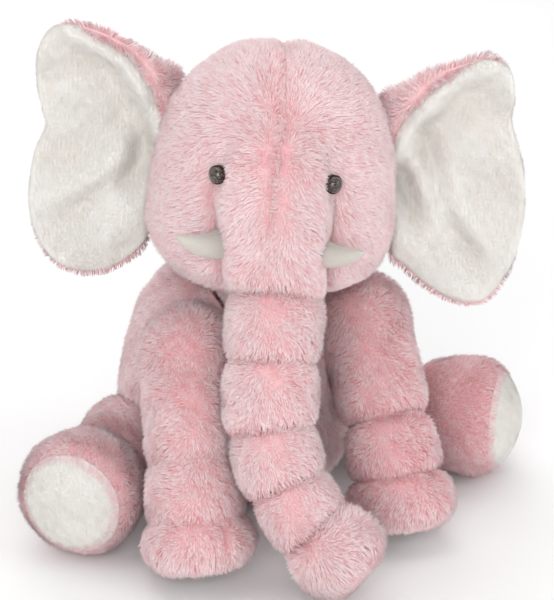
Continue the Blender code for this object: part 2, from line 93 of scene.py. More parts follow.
def link(tree, source, output, target, socket):
    tree.links.new(source.outputs[output], target.inputs[socket])


def plain_tone(name, colour, roughness, sheen):
    """A strand's material: one tone of a pile, with the soft rim light that fibres have."""
    made, _, shader = new_material(name)
    set_inputs(shader, {
        "Base Color": (*colour, 1.0),
        "Roughness": roughness,
        "Sheen Weight": sheen,
        "Sheen Roughness": 0.45,
        "Sheen Tint": (*colour, 1.0),
        "Specular IOR Level": 0.06,
    })
    return made


def texture(tree, kind, place, values):
    """A texture node over an object's own coordinates."""
    made = tree.nodes.new(kind)
    set_inputs(made, values)
    link(tree, place, "Object", made, "Vector")
    return made


def colour_ramp(tree, first, last):
    """A ramp between two stops, each its place and its colour."""
    ramp = tree.nodes.new("ShaderNodeValToRGB")
    for stop, (place, colour) in zip(ramp.color_ramp.elements, (first, last)):
        stop.position = place
        stop.color = (*colour, 1.0)
    return ramp


def cloth_material(name, dark, light, grain, bump, roughness=0.92, sheen=0.35, mottle=28.0):
    """Backing cloth: two tones mottled by soft noise, over a fine woven grain that is also its bump."""
    made, tree, shader = new_material(name)
    set_inputs(shader, {"Roughness": roughness, "Sheen Weight": sheen, "Sheen Roughness": 0.5})
    place = tree.nodes.new("ShaderNodeTexCoord")
    broad = texture(tree, "ShaderNodeTexNoise", place, {"Scale": mottle, "Detail": 4.0})
    fine = texture(tree, "ShaderNodeTexNoise", place, {"Scale": grain, "Detail": 3.0})
    ramp = colour_ramp(tree, (0.32, dark), (0.68, light))
    blend = tree.nodes.new("ShaderNodeMix")
    set_inputs(blend, {"Factor": 0.4})
    raised = tree.nodes.new("ShaderNodeBump")
    set_inputs(raised, {"Strength": bump, "Distance": 0.0008})
    link(tree, broad, "Fac", blend, "A")
    link(tree, fine, "Fac", blend, "B")
    link(tree, blend, "Result", ramp, "Fac")
    link(tree, ramp, "Color", shader, "Base Color")
    link(tree, fine, "Fac", raised, "Height")
    link(tree, raised, "Normal", shader, "Normal")
    return made


def eye_material():
    """Smoked plastic with fine pale flecks inside, under a clear gloss."""
    made, tree, shader = new_material("eye_gloss")
    set_inputs(shader, {
        "Roughness": 0.24,
        "Specular IOR Level": 0.25,
        "Coat Weight": 0.8,
        "Coat Roughness": 0.03,
    })
    place = tree.nodes.new("ShaderNodeTexCoord")
    flecks = texture(tree, "ShaderNodeTexVoronoi", place, {"Scale": 1300.0})
    ramp = colour_ramp(tree, (0.12, (0.440, 0.350, 0.300)), (0.40, (0.022, 0.014, 0.012)))
    link(tree, flecks, "Distance", ramp, "Fac")
    link(tree, ramp, "Color", shader, "Base Color")
    return made


PINK_STRANDS = [plain_tone(f"pink_pile_{k}", tone, 0.95, 0.15) for k, tone in enumerate(PINK_TONES)]
WHITE_STRANDS = [plain_tone(f"white_nap_{k}", tone, 0.95, 0.10) for k, tone in enumerate(WHITE_TONES)]
PINK_CLOTH = cloth_material("pink_backing", (0.88, 0.54, 0.56), (0.91, 0.62, 0.64), 900.0, 0.5)
WHITE_CLOTH = cloth_material("white_backing", (0.82, 0.79, 0.76), (0.88, 0.86, 0.835), 900.0, 0.5)
TUSK_CLOTH = cloth_material(
    "tusk_velour", (0.500, 0.468, 0.420), (0.575, 0.543, 0.492), 1500.0, 0.6, 0.85, 0.3, 60.0,
)
LABEL_CLOTH = cloth_material("label_ribbon", (0.86, 0.86, 0.85), (0.93, 0.93, 0.92), 2400.0, 0.3, 0.5, 0.2)


# ---------------------------------------------------------------- meshes

def read_mesh(thing):
    """(points, triangles, point normals) of an object as it is shown, in the row frame."""
    shown = thing.evaluated_get(bpy.context.evaluated_depsgraph_get())
    mesh = shown.to_mesh()
    mesh.calc_loop_triangles()
    points = np.empty(len(mesh.vertices) * 3, np.float32)
    mesh.vertices.foreach_get("co", points)
    triangles = np.empty(len(mesh.loop_triangles) * 3, np.int32)
    mesh.loop_triangles.foreach_get("vertices", triangles)
    shown.to_mesh_clear()
    world = np.array(thing.matrix_world, float)
    points = points.reshape(-1, 3) @ world[:3, :3].T + world[:3, 3]
    triangles = triangles.reshape(-1, 3)
    return points, triangles, point_normals(points, triangles)


def point_normals(points, triangles):
    a, b, c = (points[triangles[:, k]] for k in range(3))
    flat = np.cross(b - a, c - a)
    normals = np.zeros_like(points)
    for k in range(3):
        np.add.at(normals, triangles[:, k], flat)
    return normals / np.maximum(np.linalg.norm(normals, axis=1, keepdims=True), 1e-12)


def new_object(name, mesh):
    made = bpy.data.objects.new(name, mesh)
    bpy.context.scene.collection.objects.link(made)
    return made


def mesh_object(name, bm, smooth_shaded=True):
    """An object made of a bmesh, which it uses up."""
    mesh = bpy.data.meshes.new(name)
    bm.to_mesh(mesh)
    bm.free()
    if smooth_shaded:
        mesh.shade_smooth()
    return new_object(name, mesh)


def joined(nodes):
    """One mesh holding copies of CAD nodes."""
    bm = bmesh.new()
    for name in nodes:
        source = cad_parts[name]
        piece = source.data.copy()
        piece.transform(source.matrix_world)
        bm.from_mesh(piece)
        bpy.data.meshes.remove(piece)
    mesh = bpy.data.meshes.new("joined")
    bm.to_mesh(mesh)
    bm.free()
    return mesh


def applied(thing):
    """Makes the object's modifiers part of its mesh."""
    mesh = bpy.data.meshes.new_from_object(thing.evaluated_get(bpy.context.evaluated_depsgraph_get()))
    thing.modifiers.clear()
    old = thing.data
    thing.data = mesh
    bpy.data.meshes.remove(old)
    return thing


def keep_largest_shell(mesh):
    """Drops what the remesh leaves inside a form: the walls of a hollow."""
    bm = bmesh.new()
    bm.from_mesh(mesh)
    bm.verts.ensure_lookup_table()
    seen, shells = set(), []
    for start in bm.verts:
        if start.index in seen:
            continue
        shell, todo = [], [start]
        seen.add(start.index)
        while todo:
            vert = todo.pop()
            shell.append(vert)
            for edge in vert.link_edges:
                other = edge.other_vert(vert)
                if other.index not in seen:
                    seen.add(other.index)
                    todo.append(other)
        shells.append(shell)
    shells.sort(key=len)
    for shell in shells[:-1]:
        bmesh.ops.delete(bm, geom=shell, context="VERTS")
    bm.to_mesh(mesh)
    bm.free()


def get_points(thing):
    points = np.empty(len(thing.data.vertices) * 3, np.float32)
    thing.data.vertices.foreach_get("co", points)
    return points.reshape(-1, 3).astype(float)


def set_points(thing, points):
    thing.data.vertices.foreach_set("co", points.astype(np.float32).ravel())
    thing.data.update()


def smooth(thing, rounds, factor=0.5):
    modifier = thing.modifiers.new("smooth", "SMOOTH")
    modifier.iterations = rounds
    modifier.factor = factor
    return applied(thing)


def remeshed(thing, voxel):
    """Makes one closed skin of the object, without what lies inside it."""
    modifier = thing.modifiers.new("remesh", "REMESH")
    modifier.mode = "VOXEL"
    modifier.voxel_size = voxel
    applied(thing)
    keep_largest_shell(thing.data)


RAY_START = 0.0003  # how far off a surface its rays start
CLOTH_GAP = 0.0008  # how far inside its CAD solid the cloth lies even where no pile stands


def tree_of(nodes):
    """What a ray can hit: the CAD solids of these nodes."""
    mesh = joined(nodes)
    places = [vert.co for vert in mesh.vertices]
    tree = BVHTree.FromPolygons(places, [face.vertices for face in mesh.polygons])
    bpy.data.meshes.remove(mesh)
    return tree


def settled(triangles, values, rounds):
    """Values at the points of a mesh, evened out between neighbours."""
    pairs = np.concatenate([triangles[:, [0, 1]], triangles[:, [1, 2]], triangles[:, [2, 0]]])
    pairs = np.concatenate([pairs, pairs[:, ::-1]])
    count = np.maximum(np.bincount(pairs[:, 0], minlength=len(values)), 1)
    for _ in range(rounds):
        values = 0.5 * values + 0.5 * np.bincount(pairs[:, 0], values[pairs[:, 1]], len(values)) / count
    return values


def open_share(thing, tree, reach=0.006):
    """At each point, 1 where the surface is in the open and 0 where another solid lies right against it."""
    points, triangles, normals = read_mesh(thing)
    free = np.array([
        tree.ray_cast(Vector(point + normal * RAY_START), Vector(normal), reach)[0] is None
        for point, normal in zip(points, normals)
    ], float)
    return settled(triangles, free, 3)


def soft_form(name, nodes, sink=SINK, voxel=0.0035, rounds=5):
    """The cloth of a part: its CAD solids as one remeshed skin, rounded off, and drawn in where its pile has
    room to stand. Returns it with that room, 0 to 1 at each point."""
    thing = new_object(name, joined(nodes))
    remeshed(thing, voxel)
    smooth(thing, rounds)
    room = open_share(thing, tree_of([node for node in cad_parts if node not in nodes]))
    points, _, normals = read_mesh(thing)
    set_points(thing, points - normals * (CLOTH_GAP + sink * room)[:, None])
    smooth(thing, 3)
    thing.data.shade_smooth()
    return thing, room


def skinned(bm, rings, poles):
    """Faces over rings of points, closed by a fan round a pole at each end."""
    count = len(rings[0])
    for first, second in zip(rings, rings[1:]):
        for k in range(count):
            after = (k + 1) % count
            bm.faces.new((first[k], first[after], second[after], second[k]))
    for end, place in zip((rings[0], rings[-1]), poles):
        pole = bm.verts.new(place)
        for k in range(count):
            bm.faces.new((end[k], end[(k + 1) % count], pole))
    bmesh.ops.recalc_face_normals(bm, faces=bm.faces)


def ringed(bm, rings, count=48, square=2.0):
    """Adds a closed skin over rings to a bmesh. A ring is its middle, the way it faces and its two half
    sizes; it is an ellipse where square is 2, and nearer a rectangle above that."""
    power = 2.0 / square

    def swing(value):
        return math.copysign(abs(value) ** power, value)

    made = []
    for centre, way, width, depth in rings:
        centre, way = Vector(centre), Vector(way).normalized()
        side = (Vector((1.0, 0.0, 0.0)) - way * way.x).normalized()
        other = way.cross(side)
        made.append([
            bm.verts.new(centre + side * width * swing(math.cos(2.0 * math.pi * k / count))
                         + other * depth * swing(math.sin(2.0 * math.pi * k / count)))
            for k in range(count)
        ])
    skinned(bm, made, [sum((vert.co for vert in end), Vector()) / count for end in (made[0], made[-1])])


def fused(name, bm, voxel, rounds):
    """One smooth closed skin from the solids in a bmesh."""
    thing = mesh_object(name, bm)
    remeshed(thing, voxel)
    smooth(thing, rounds)
    thing.data.shade_smooth()
    return thing


# How the cloth behaves while it is puffed
CLOTH_SETTINGS = {
    "quality": 5,
    "mass": 0.15,
    "tension_stiffness": 6.0,
    "compression_stiffness": 6.0,
    "shear_stiffness": 3.0,
    "bending_stiffness": 0.15,
    "use_pressure": True,
    "uniform_pressure_force": 4.0,
    "vertex_group_mass": "held",
}
PUFF_FRAMES = 20
LEAST_HELD = 0.01  # below this a point is free


def puffed(thing, held, cap):
    """Lets air pressure fill the cloth while its seams are held. No point moves further than cap."""
    before = get_points(thing)
    group = thing.vertex_groups.new(name="held")
    for index, weight in enumerate(held):
        if weight > LEAST_HELD:
            group.add([index], float(min(1.0, weight)), "REPLACE")
    cloth = thing.modifiers.new("cloth", "CLOTH")
    for setting, value in CLOTH_SETTINGS.items():
        setattr(cloth.settings, setting, value)
    cloth.settings.effector_weights.gravity = 0.0
    cloth.point_cache.frame_start = 1
    cloth.point_cache.frame_end = PUFF_FRAMES
    for frame_number in range(1, PUFF_FRAMES + 1):
        bpy.context.scene.frame_set(frame_number)
    applied(thing)
    thing.vertex_groups.clear()
    bpy.context.scene.frame_set(1)
    move = get_points(thing) - before
    far = np.linalg.norm(move, axis=1, keepdims=True)
    set_points(thing, before + move * np.minimum(1.0, cap / np.maximum(far, 1e-9)))
    smooth(thing, 1)


def press(thing, centre, normal, width, depth, within):
    """Presses a sewn crease in: points near the plane move in, most of all on it."""
    points, _, normals = read_mesh(thing)
    centre = np.array(centre)
    away = (points - centre) @ np.array(Vector(normal).normalized())
    share = np.exp(-(away / width) ** 2)
    close = np.linalg.norm(points - centre, axis=1) < within
    set_points(thing, points - normals * (share * close * depth)[:, None])


# ---------------------------------------------------------------- fur

class Waves:
    """A smooth random field in space: a sum of plane waves, the same every run."""

    def __init__(self, seed, wavelength, count=10):
        rng = np.random.default_rng(seed)
        way = rng.normal(size=(count, 3))
        way /= np.linalg.norm(way, axis=1, keepdims=True)
        self.ways = way * (2.0 * math.pi / (wavelength * rng.uniform(0.6, 1.6, (count, 1))))
        self.phases = rng.uniform(0.0, 2.0 * math.pi, (count, 3))
        self.strength = rng.normal(size=(count, 3)) / math.sqrt(count)

    def vectors(self, points):
        turn = points @ self.ways.T
        return sum(
            self.strength[k] * np.sin(turn[:, k:k + 1] + self.phases[k]) for k in range(len(self.ways))
        )

    def values(self, points):
        return self.vectors(points)[:, 0]


# What one sort of pile is like. density is in strands per square metre, lean how far its lay tips it over,
# swirl how far that lay wanders, clump the size of a tuft, pull how far a tip is drawn to the middle of its
# tuft, depth how many tones a root is below its tip (a painted shade down in the pile), vary how much the
# tones change, and own the share of a strand's shading that follows its own roundness.
Pile = namedtuple("Pile", "slot tones density length width lean swirl clump pull depth vary own bent")
PINK_PILE = Pile(
    slot="pink_plush",
    tones=PINK_STRANDS,
    density=1.03e6,
    length=0.0095,
    width=0.00058,
    lean=0.75,
    swirl=0.34,
    clump=0.0042,
    pull=0.36,
    depth=2,
    vary=1.0,
    own=0.48,
    bent=True,
)
WHITE_NAP = Pile(
    slot="white_nap",
    tones=WHITE_STRANDS,
    density=4.0e6,
    length=0.0026,
    width=0.00032,
    lean=1.15,
    swirl=0.50,
    clump=0.0030,
    pull=0.50,
    depth=1,
    vary=1.3,
    own=0.70,
    bent=False,
)
# How a strand's tone changes: over broad patches, over small ones, by chance, and away from its tuft's
# middle, where it is deeper as a painted shade in the gaps between tufts
BROAD_SHADE = 0.45
FLECK_SHADE = 0.62
CHANCE_SHADE = 0.30
TUFT_GAP_PAINTED_SHADE = 0.50
USUAL_TIP = 0.82  # the usual tone of a tip, as a share of the way from deep to pale
LEAST_ROOM = 0.35  # below this share of room no strand grows
ROOM_CHANCE = 0.30  # how much further up chance takes that share
RUFFLE_SHARE = 0.6  # of a swirl
LAY_GAIN = 1.2
MOST_LAY = 1.9
LENGTHS = (0.72, 1.12)  # spread of the strands' lengths, widths and pulls round the usual
WIDTHS = (0.75, 1.20)
PULLS = (0.50, 1.20)
STRAY = 0.16  # how far single strands stand out of line
ARCH = 0.13  # how far a strand's bend stands out, as a share of its length
ROOT_SIZE = 0.50  # a strand's half width at its root, as a share of its width
BEND_SIZE = 0.42  # the same at its bend

SWIRL = Waves(3, 0.045)
RUFFLE = Waves(5, 0.014)
SHADE = Waves(7, 0.060)
FLECK = Waves(11, 0.011)


def scatter(points, triangles, normals, values, per_square_metre, rng):
    """Roots spread over a surface: (roots, normals, the surface's values there)."""
    a, b, c = (points[triangles[:, k]] for k in range(3))
    area = np.linalg.norm(np.cross(b - a, c - a), axis=1) / 2.0
    count = int(area.sum() * per_square_metre)
    steps = (np.arange(count) + rng.random(count)) / count
    chosen = np.searchsorted(np.cumsum(area) / area.sum(), steps).clip(0, len(area) - 1)
    u, v = rng.random((2, count, 1))
    over = u + v > 1.0
    u, v = np.where(over, 1.0 - u, u), np.where(over, 1.0 - v, v)
    w = 1.0 - u - v

    def mixed(what):
        first, second, third = (what[triangles[chosen, k]] for k in range(3))
        return first * w + second * u + third * v

    return mixed(points), unit(mixed(normals)), mixed(values[:, None])[:, 0]


def unit(vectors):
    return vectors / np.maximum(np.linalg.norm(vectors, axis=1, keepdims=True), 1e-9)


def tangent(vectors, normals):
    return vectors - normals * (vectors * normals).sum(1, keepdims=True)


def tufts(roots, tips, cell, rng):
    """The middle root and middle tip of the tuft each strand belongs to."""
    warped = roots + RUFFLE.vectors(roots) * cell * 0.35 + rng.normal(size=roots.shape) * cell * 0.10
    keys = np.floor(warped / cell).astype(np.int64)
    _, tuft = np.unique(keys, axis=0, return_inverse=True)
    tuft = tuft.reshape(-1)
    size = np.bincount(tuft)[:, None]
    means = []
    for values in (roots, tips):
        total = np.stack([np.bincount(tuft, values[:, k]) for k in range(3)], axis=1)
        means.append((total / size)[tuft])
    return means


def strand_mesh(name, roots, bends, tips, facing, own, widths, root_tone, tip_tone, materials):
    """Tapered three-sided strands, each bent once, or straight where bends is None. own is the share of their
    shading that is theirs; the rest is the cloth's below, as on a soft pile."""
    count = len(roots)
    along = unit(tips - roots)
    side = unit(np.cross(along, np.tile([0.31, 0.52, 0.80], (count, 1))))
    other = np.cross(along, side)
    levels = [(roots, ROOT_SIZE)]
    if bends is not None:
        levels.append((bends, BEND_SIZE))
    size = 3 * len(levels) + 1
    points = np.empty((count, size, 3))
    normals = np.empty((count, size, 3))
    for level, (middles, share) in enumerate(levels):
        for k in range(3):
            turn = 2.0 * math.pi * k / 3.0
            out = side * math.cos(turn) + other * math.sin(turn)
            points[:, 3 * level + k] = middles + out * widths[:, None] * share
            normals[:, 3 * level + k] = unit(out * own + facing * (1.0 - own))
    points[:, -1] = tips
    normals[:, -1] = facing
    faces = [(k, (k + 1) % 3, 3 + (k + 1) % 3, 3 + k) for k in range(3)] if bends is not None else []
    faces += [(size - 4 + k, size - 4 + (k + 1) % 3, size - 1) for k in range(3)]
    first = np.arange(count)[:, None] * size
    loops = (first + np.concatenate([np.array(face) for face in faces])[None]).ravel()
    sizes = np.tile([len(face) for face in faces], count)
    starts = np.concatenate([[0], np.cumsum(sizes)[:-1]])
    mesh = bpy.data.meshes.new(name)
    mesh.vertices.add(count * size)
    mesh.vertices.foreach_set("co", points.astype(np.float32).ravel())
    mesh.loops.add(len(loops))
    mesh.loops.foreach_set("vertex_index", loops.astype(np.int32))
    mesh.polygons.add(len(sizes))
    mesh.polygons.foreach_set("loop_start", starts.astype(np.int32))
    mesh.polygons.foreach_set("loop_total", sizes.astype(np.int32))
    tones = np.repeat(np.stack([root_tone, tip_tone][-len(levels):], axis=1), 3, axis=1)
    mesh.polygons.foreach_set("material_index", tones.astype(np.int32).ravel())
    mesh.update(calc_edges=True)
    mesh.shade_smooth()
    shading = mesh.attributes.new("custom_normal", "FLOAT_VECTOR", "POINT")
    shading.data.foreach_set("vector", normals.astype(np.float32).ravel())
    for material in materials:
        mesh.materials.append(material)
    return new_object(name, mesh)


def grow_fur(name, form, room, body, comb, seed, pile=PINK_PILE, scale=1.0, trim=None, tint=None):
    """Grows strands on a form where there is room. comb gives the lay of the pile, trim a share of its full
    length and tint a change of tone, which is painted light and shade, each at given points. scale is its
    length here against the usual one."""
    rng = np.random.default_rng(seed)
    roots, facing, space = scatter(*read_mesh(form), room, pile.density, rng)
    wanted = space > LEAST_ROOM + ROOM_CHANCE * rng.random(len(roots))
    roots, facing, space = roots[wanted], facing[wanted], space[wanted]
    lay = comb(roots) if callable(comb) else np.tile(np.array(comb, float), (len(roots), 1))
    lay = lay + SWIRL.vectors(roots) * pile.swirl + RUFFLE.vectors(roots) * pile.swirl * RUFFLE_SHARE
    lay = tangent(lay, facing)
    lay = unit(lay) * np.minimum(MOST_LAY, np.linalg.norm(lay, axis=1, keepdims=True) * LAY_GAIN)
    long = pile.length * scale * rng.uniform(*LENGTHS, len(roots)) * (0.5 + 0.5 * np.minimum(space, 1.0))
    if trim is not None:
        long = long * trim(roots)
    way = unit(facing + lay * pile.lean + rng.normal(size=roots.shape) * STRAY)
    tips = roots + way * long[:, None]
    middle_root, middle_tip = tufts(roots, tips, pile.clump, rng)
    tips = tips + (middle_tip - tips) * (pile.pull * rng.uniform(*PULLS, len(roots)))[:, None]
    bends = roots * 0.5 + tips * 0.5 + facing * long[:, None] * ARCH
    off = np.linalg.norm(roots - middle_root, axis=1) / pile.clump
    shade = SHADE.values(roots) * BROAD_SHADE + FLECK.values(roots) * FLECK_SHADE
    # Deeper away from each tuft's middle: a painted shade in the gaps between tufts.
    shade = (shade + rng.normal(size=len(roots)) * CHANCE_SHADE - off * TUFT_GAP_PAINTED_SHADE) * pile.vary
    if tint is not None:
        shade = shade + tint(roots)
    palest = len(pile.tones) - 1
    tip_tone = np.clip(np.round(palest * USUAL_TIP + shade), 1, palest)
    # A root is the pile's depth of tones below its tip: a painted shade down in the pile.
    root_tone = np.clip(tip_tone - pile.depth, 0, palest)
    most_here = MOST_STRANDS if pile.bent else MOST_STRAIGHT
    for part, start in enumerate(range(0, len(roots), most_here)):
        cut = slice(start, start + most_here)
        widths = pile.width * rng.uniform(*WIDTHS, len(roots[cut]))
        piece = strand_mesh(
            f"{name}_{part + 1}", roots[cut], bends[cut] if pile.bent else None, tips[cut], facing[cut],
            pile.own, widths, root_tone[cut], tip_tone[cut], pile.tones,
        )
        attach(piece, body)


def finish_form(form, body, material, nodes):
    form.data.materials.clear()
    form.data.materials.append(material)
    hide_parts(*nodes)
    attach(form, body)


# ---------------------------------------------------------------- where things are

def head_point(out, back, up):
    return HEAD @ Vector((out, back, up))


def head_way(out, back, up):
    return (HEAD.to_3x3() @ Vector((out, back, up))).normalized()


def mirrored(point, side):
    return Vector((point.x * side, point.y, point.z))


def turned_with_head(lay):
    return lay @ np.array(HEAD.to_3x3()).T


def in_head(points):
    """Points of the row frame, in the head's own."""
    away = np.array(HEAD.inverted(), float)
    return points @ away[:3, :3].T + away[:3, 3]


def near(points, centre, width):
    """1 at a centre, falling to 0 around it."""
    return np.exp(-((points - np.array(centre)) ** 2).sum(1) / (width * width))


def along_bezier(control, t):
    level = [Vector(point) for point in control]
    while len(level) > 2:
        level = [first.lerp(second, t) for first, second in zip(level, level[1:])]
    return level[0].lerp(level[1], t), (level[1] - level[0]).normalized()


# ---------------------------------------------------------------- camera, light and floor

AZIMUTH = math.radians(-28.0)
ELEVATION = math.radians(20.0)
DISTANCE = 1.70
TARGET = Vector((0.010, -0.050, 0.172))
LENS_MM = 127.5
SENSOR_MM = 36.0
LIGHT_TARGET = Vector((0.0, -0.05, 0.18))
# Each light's place, size and power
LIGHTS = {
    "key": ((-1.35, -2.15, 1.05), 1.5, 34.0),
    "fill": ((1.7, -1.8, 0.80), 1.8, 14.0),
    "top": ((0.0, 0.3, 2.2), 1.8, 11.0),
    "back": ((0.6, 2.0, 1.2), 1.8, 12.0),
}
WORLD_STRENGTH = 0.62
FLOOR_HALF_SIZE = 6.0
FLOOR_DROP = 0.0005


def build_camera():
    back = Vector((
        math.sin(AZIMUTH) * math.cos(ELEVATION),
        -math.cos(AZIMUTH) * math.cos(ELEVATION),
        math.sin(ELEVATION),
    ))
    data = bpy.data.cameras.new("camera")
    data.lens = LENS_MM
    data.sensor_width = SENSOR_MM
    data.clip_start = 0.05
    camera = bpy.data.objects.new("camera", data)
    camera.location = TARGET + back * DISTANCE
    camera.rotation_euler = back.to_track_quat("Z", "Y").to_euler()
    bpy.context.scene.collection.objects.link(camera)
    bpy.context.scene.camera = camera


def build_light(name, place, size, power):
    data = bpy.data.lights.new(name, "AREA")
    data.shape = "SQUARE"
    data.size = size
    data.energy = power
    light = bpy.data.objects.new(name, data)
    light.location = place
    light.rotation_euler = (Vector(place) - LIGHT_TARGET).to_track_quat("Z", "Y").to_euler()
    bpy.context.scene.collection.objects.link(light)


def build_studio():
    build_camera()
    for name, (place, size, power) in LIGHTS.items():
        build_light(name, place, size, power)
    world = bpy.data.worlds.new("studio")
    world.use_nodes = True
    sky = world.node_tree.nodes["Background"]
    set_inputs(sky, {"Color": (1.0, 1.0, 1.0, 1.0), "Strength": WORLD_STRENGTH})
    bpy.context.scene.world = world
    bpy.context.scene.view_settings.view_transform = "Standard"
    bm = bmesh.new()
    bmesh.ops.create_grid(bm, x_segments=2, y_segments=2, size=FLOOR_HALF_SIZE)
    floor = mesh_object("floor", bm, smooth_shaded=False)
    floor.location.z = -FLOOR_DROP
    paper, _, shader = new_material("studio_floor")
    set_inputs(shader, {"Base Color": (0.97, 0.97, 0.97, 1.0), "Roughness": 0.9})
    floor.data.materials.append(paper)


# ---------------------------------------------------------------- body and neck

def body_comb(points):
    """Down the body, and a little outward from its middle line."""
    lay = np.tile([0.0, 0.0, -1.0], (len(points), 1))
    lay[:, 0] += points[:, 0] * 3.0
    return lay


def body_trim(points):
    """Clipped short near the floor."""
    return np.clip(points[:, 2] / 0.02, 0.25, 1.0)


def build_body():
    nodes = ("body_skin", "body_stuffing", "pellet_bag")
    form, room = soft_form("body", nodes, voxel=0.0042)
    room = np.clip(room * 1.6, 0.0, 1.0)
    puffed(form, 1.0 - room, cap=0.0025)
    finish_form(form, "body", PINK_CLOTH, nodes)
    grow_fur("body_pile", form, room, "body", body_comb, seed=21, trim=body_trim)


def build_neck():
    form, room = soft_form("neck", ("neck_stuffing",), sink=0.0026)
    finish_form(form, "neck", PINK_CLOTH, ("neck_stuffing",))
    room = np.clip(room * 2.0, 0.0, 1.0)
    grow_fur("neck_pile", form, room, "neck", (0.0, -0.3, -1.0), seed=25, scale=0.65)


# ---------------------------------------------------------------- head

EYE = Vector((0.0430, -0.0785, 0.0125))
EYE_RADIUS = 0.0068
EYE_WAY = Vector((0.50, -0.86, 0.10))
EYE_HOLLOW = 0.0030
SEAM_DEPTH = 0.0022  # of the seam down the brow
CROOK_DEPTH = 0.0065  # of the crook between the bridge and a cheek
# Skull: height of each ring, half width, half depth
HEAD_RINGS = (
    (-0.096, 0.034, 0.032), (-0.085, 0.070, 0.064), (-0.069, 0.088, 0.080), (-0.045, 0.0955, 0.087),
    (-0.015, 0.094, 0.089), (0.018, 0.090, 0.087), (0.048, 0.081, 0.079), (0.070, 0.068, 0.066),
    (0.086, 0.049, 0.048), (0.095, 0.027, 0.027),
)
# The bridge from the brow to the trunk: middle of each ring, half width and half depth
BRIDGE_RINGS = (
    ((0.000, -0.040, 0.052), 0.024, 0.0270), ((0.000, -0.050, 0.035), 0.034, 0.0340),
    ((0.000, -0.060, 0.014), 0.040, 0.0350), ((0.001, -0.067, -0.005), 0.0405, 0.0345),
    ((0.002, -0.071, -0.024), 0.0385, 0.0350), ((0.004, -0.074, -0.045), 0.0360, 0.0350),
    ((0.006, -0.0765, -0.062), 0.0345, 0.0335),
)
TRUNK_POINTS = (
    (0.009, -0.079, -0.076), (0.009, -0.101, -0.122), (0.013, -0.122, -0.168), (0.028, -0.140, -0.204),
    (0.052, -0.155, -0.233), (0.084, -0.170, -0.254),
)


def eye_matrix(side):
    turn = mirrored(EYE_WAY, side).normalized().to_track_quat("Z", "Y").to_matrix().to_4x4()
    return HEAD @ Matrix.Translation(mirrored(EYE, side)) @ turn


def head_comb(points):
    """Away from the brow's middle over the skull, and down the face and cheeks."""
    at = in_head(points)
    lay = np.zeros_like(at)
    lay[:, 0] = np.sign(at[:, 0]) * np.clip(np.abs(at[:, 0]) * 22.0, 0.0, 0.9)
    lay[:, 1] = 0.35 + 0.6 * (at[:, 2] > 0.05)
    lay[:, 2] = -0.75 + np.clip((at[:, 2] - 0.02) * 14.0, 0.0, 0.9)
    return turned_with_head(lay)


def head_trim(points):
    """Shorter round the eyes, along the brow seam and where the tusks come out."""
    at = in_head(points)
    share = np.ones(len(points))
    for side in (1.0, -1.0):
        share -= 0.72 * near(at, (EYE.x * side, EYE.y - 0.003, EYE.z), 0.0125)
        share -= 0.45 * near(at, (0.040 * side, -0.084, -0.038), 0.014)
    share -= 0.22 * np.exp(-(at[:, 0] / 0.004) ** 2) * (at[:, 2] > -0.02)
    share -= 0.45 * beside_bridge(at)
    return np.clip(share, 0.16, 1.0)


def head_light_and_shade(points):
    """Paler than the rest of the pile, a painted light, and deeper along the brow seam and in the crook
    beside the bridge, a painted shade.
    """
    at = in_head(points)
    seam = np.exp(-(at[:, 0] / 0.007) ** 2) * (at[:, 2] > -0.03) * (at[:, 1] < 0.03)
    return 0.35 - 1.2 * seam - 0.9 * beside_bridge(at)


def skull_rings():
    return [
        ((0.0, 0.0, height * (1.0 - SINK / 0.098)), (0.0, 0.0, 1.0), width - SINK, depth - SINK)
        for height, width, depth in HEAD_RINGS
    ]


def beside_bridge(at):
    """1 in the crook between the bridge and a cheek, from the eye down."""
    rings = [(middle[2], middle[0], width) for middle, width, _ in reversed(BRIDGE_RINGS)]
    heights, asides, halves = zip(*rings)
    middles = np.interp(at[:, 2], heights, asides)
    widths = np.interp(at[:, 2], heights, halves)
    away = np.abs(np.abs(at[:, 0] - middles) - widths - 0.0030)
    share = np.exp(-(away / 0.0050) ** 2) * (at[:, 1] < -0.03)
    below_eye = np.clip((0.020 - at[:, 2]) / 0.018, 0.0, 1.0)
    above_trunk = np.clip((at[:, 2] + 0.086) / 0.02, 0.0, 1.0)
    return share * below_eye * above_trunk


def press_face(form):
    """The seam down the brow, the crook beside the bridge, the eyes' hollows and the folds over them."""
    points, _, normals = read_mesh(form)
    at = in_head(points)
    seam = np.exp(-(at[:, 0] / 0.0045) ** 2) * np.clip((at[:, 2] + 0.03) / 0.03, 0.0, 1.0)
    depth = SEAM_DEPTH * seam
    for side in (1.0, -1.0):
        depth += EYE_HOLLOW * near(at, mirrored(EYE, side), 0.010)
        depth += EYE_HOLLOW * near(at, ((EYE.x - 0.008) * side, EYE.y + 0.006, EYE.z + 0.020), 0.011)
    points = points - normals * depth[:, None]
    back = np.array(head_way(0.0, 1.0, 0.0))
    set_points(form, points + back * (beside_bridge(at) * CROOK_DEPTH)[:, None])


def circle(count):
    """(cosine, sine) of evenly spaced angles."""
    angles = [2.0 * math.pi * k / count for k in range(count)]
    return [(math.cos(angle), math.sin(angle)) for angle in angles]


def turned(name, profile, matrix, count=36):
    """A lathe piece from (height, radius) pairs, closed by a point at each end."""
    bm = bmesh.new()
    rings = [
        [bm.verts.new((radius * across, radius * up, height)) for across, up in circle(count)]
        for height, radius in profile[1:-1]
    ]
    skinned(bm, rings, [(0.0, 0.0, height) for height, _ in (profile[0], profile[-1])])
    bm.transform(matrix)
    return mesh_object(name, bm)


def arc(height, radius, rise, reach, degrees):
    """(height, radius) pairs round part of an ellipse in a lathe piece's profile."""
    angles = [math.radians(step) for step in degrees]
    return [(height + rise * math.sin(angle), radius + reach * math.cos(angle)) for angle in angles]


def finish_eye_piece(thing, material):
    thing.data.materials.append(material)
    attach(thing, "head")


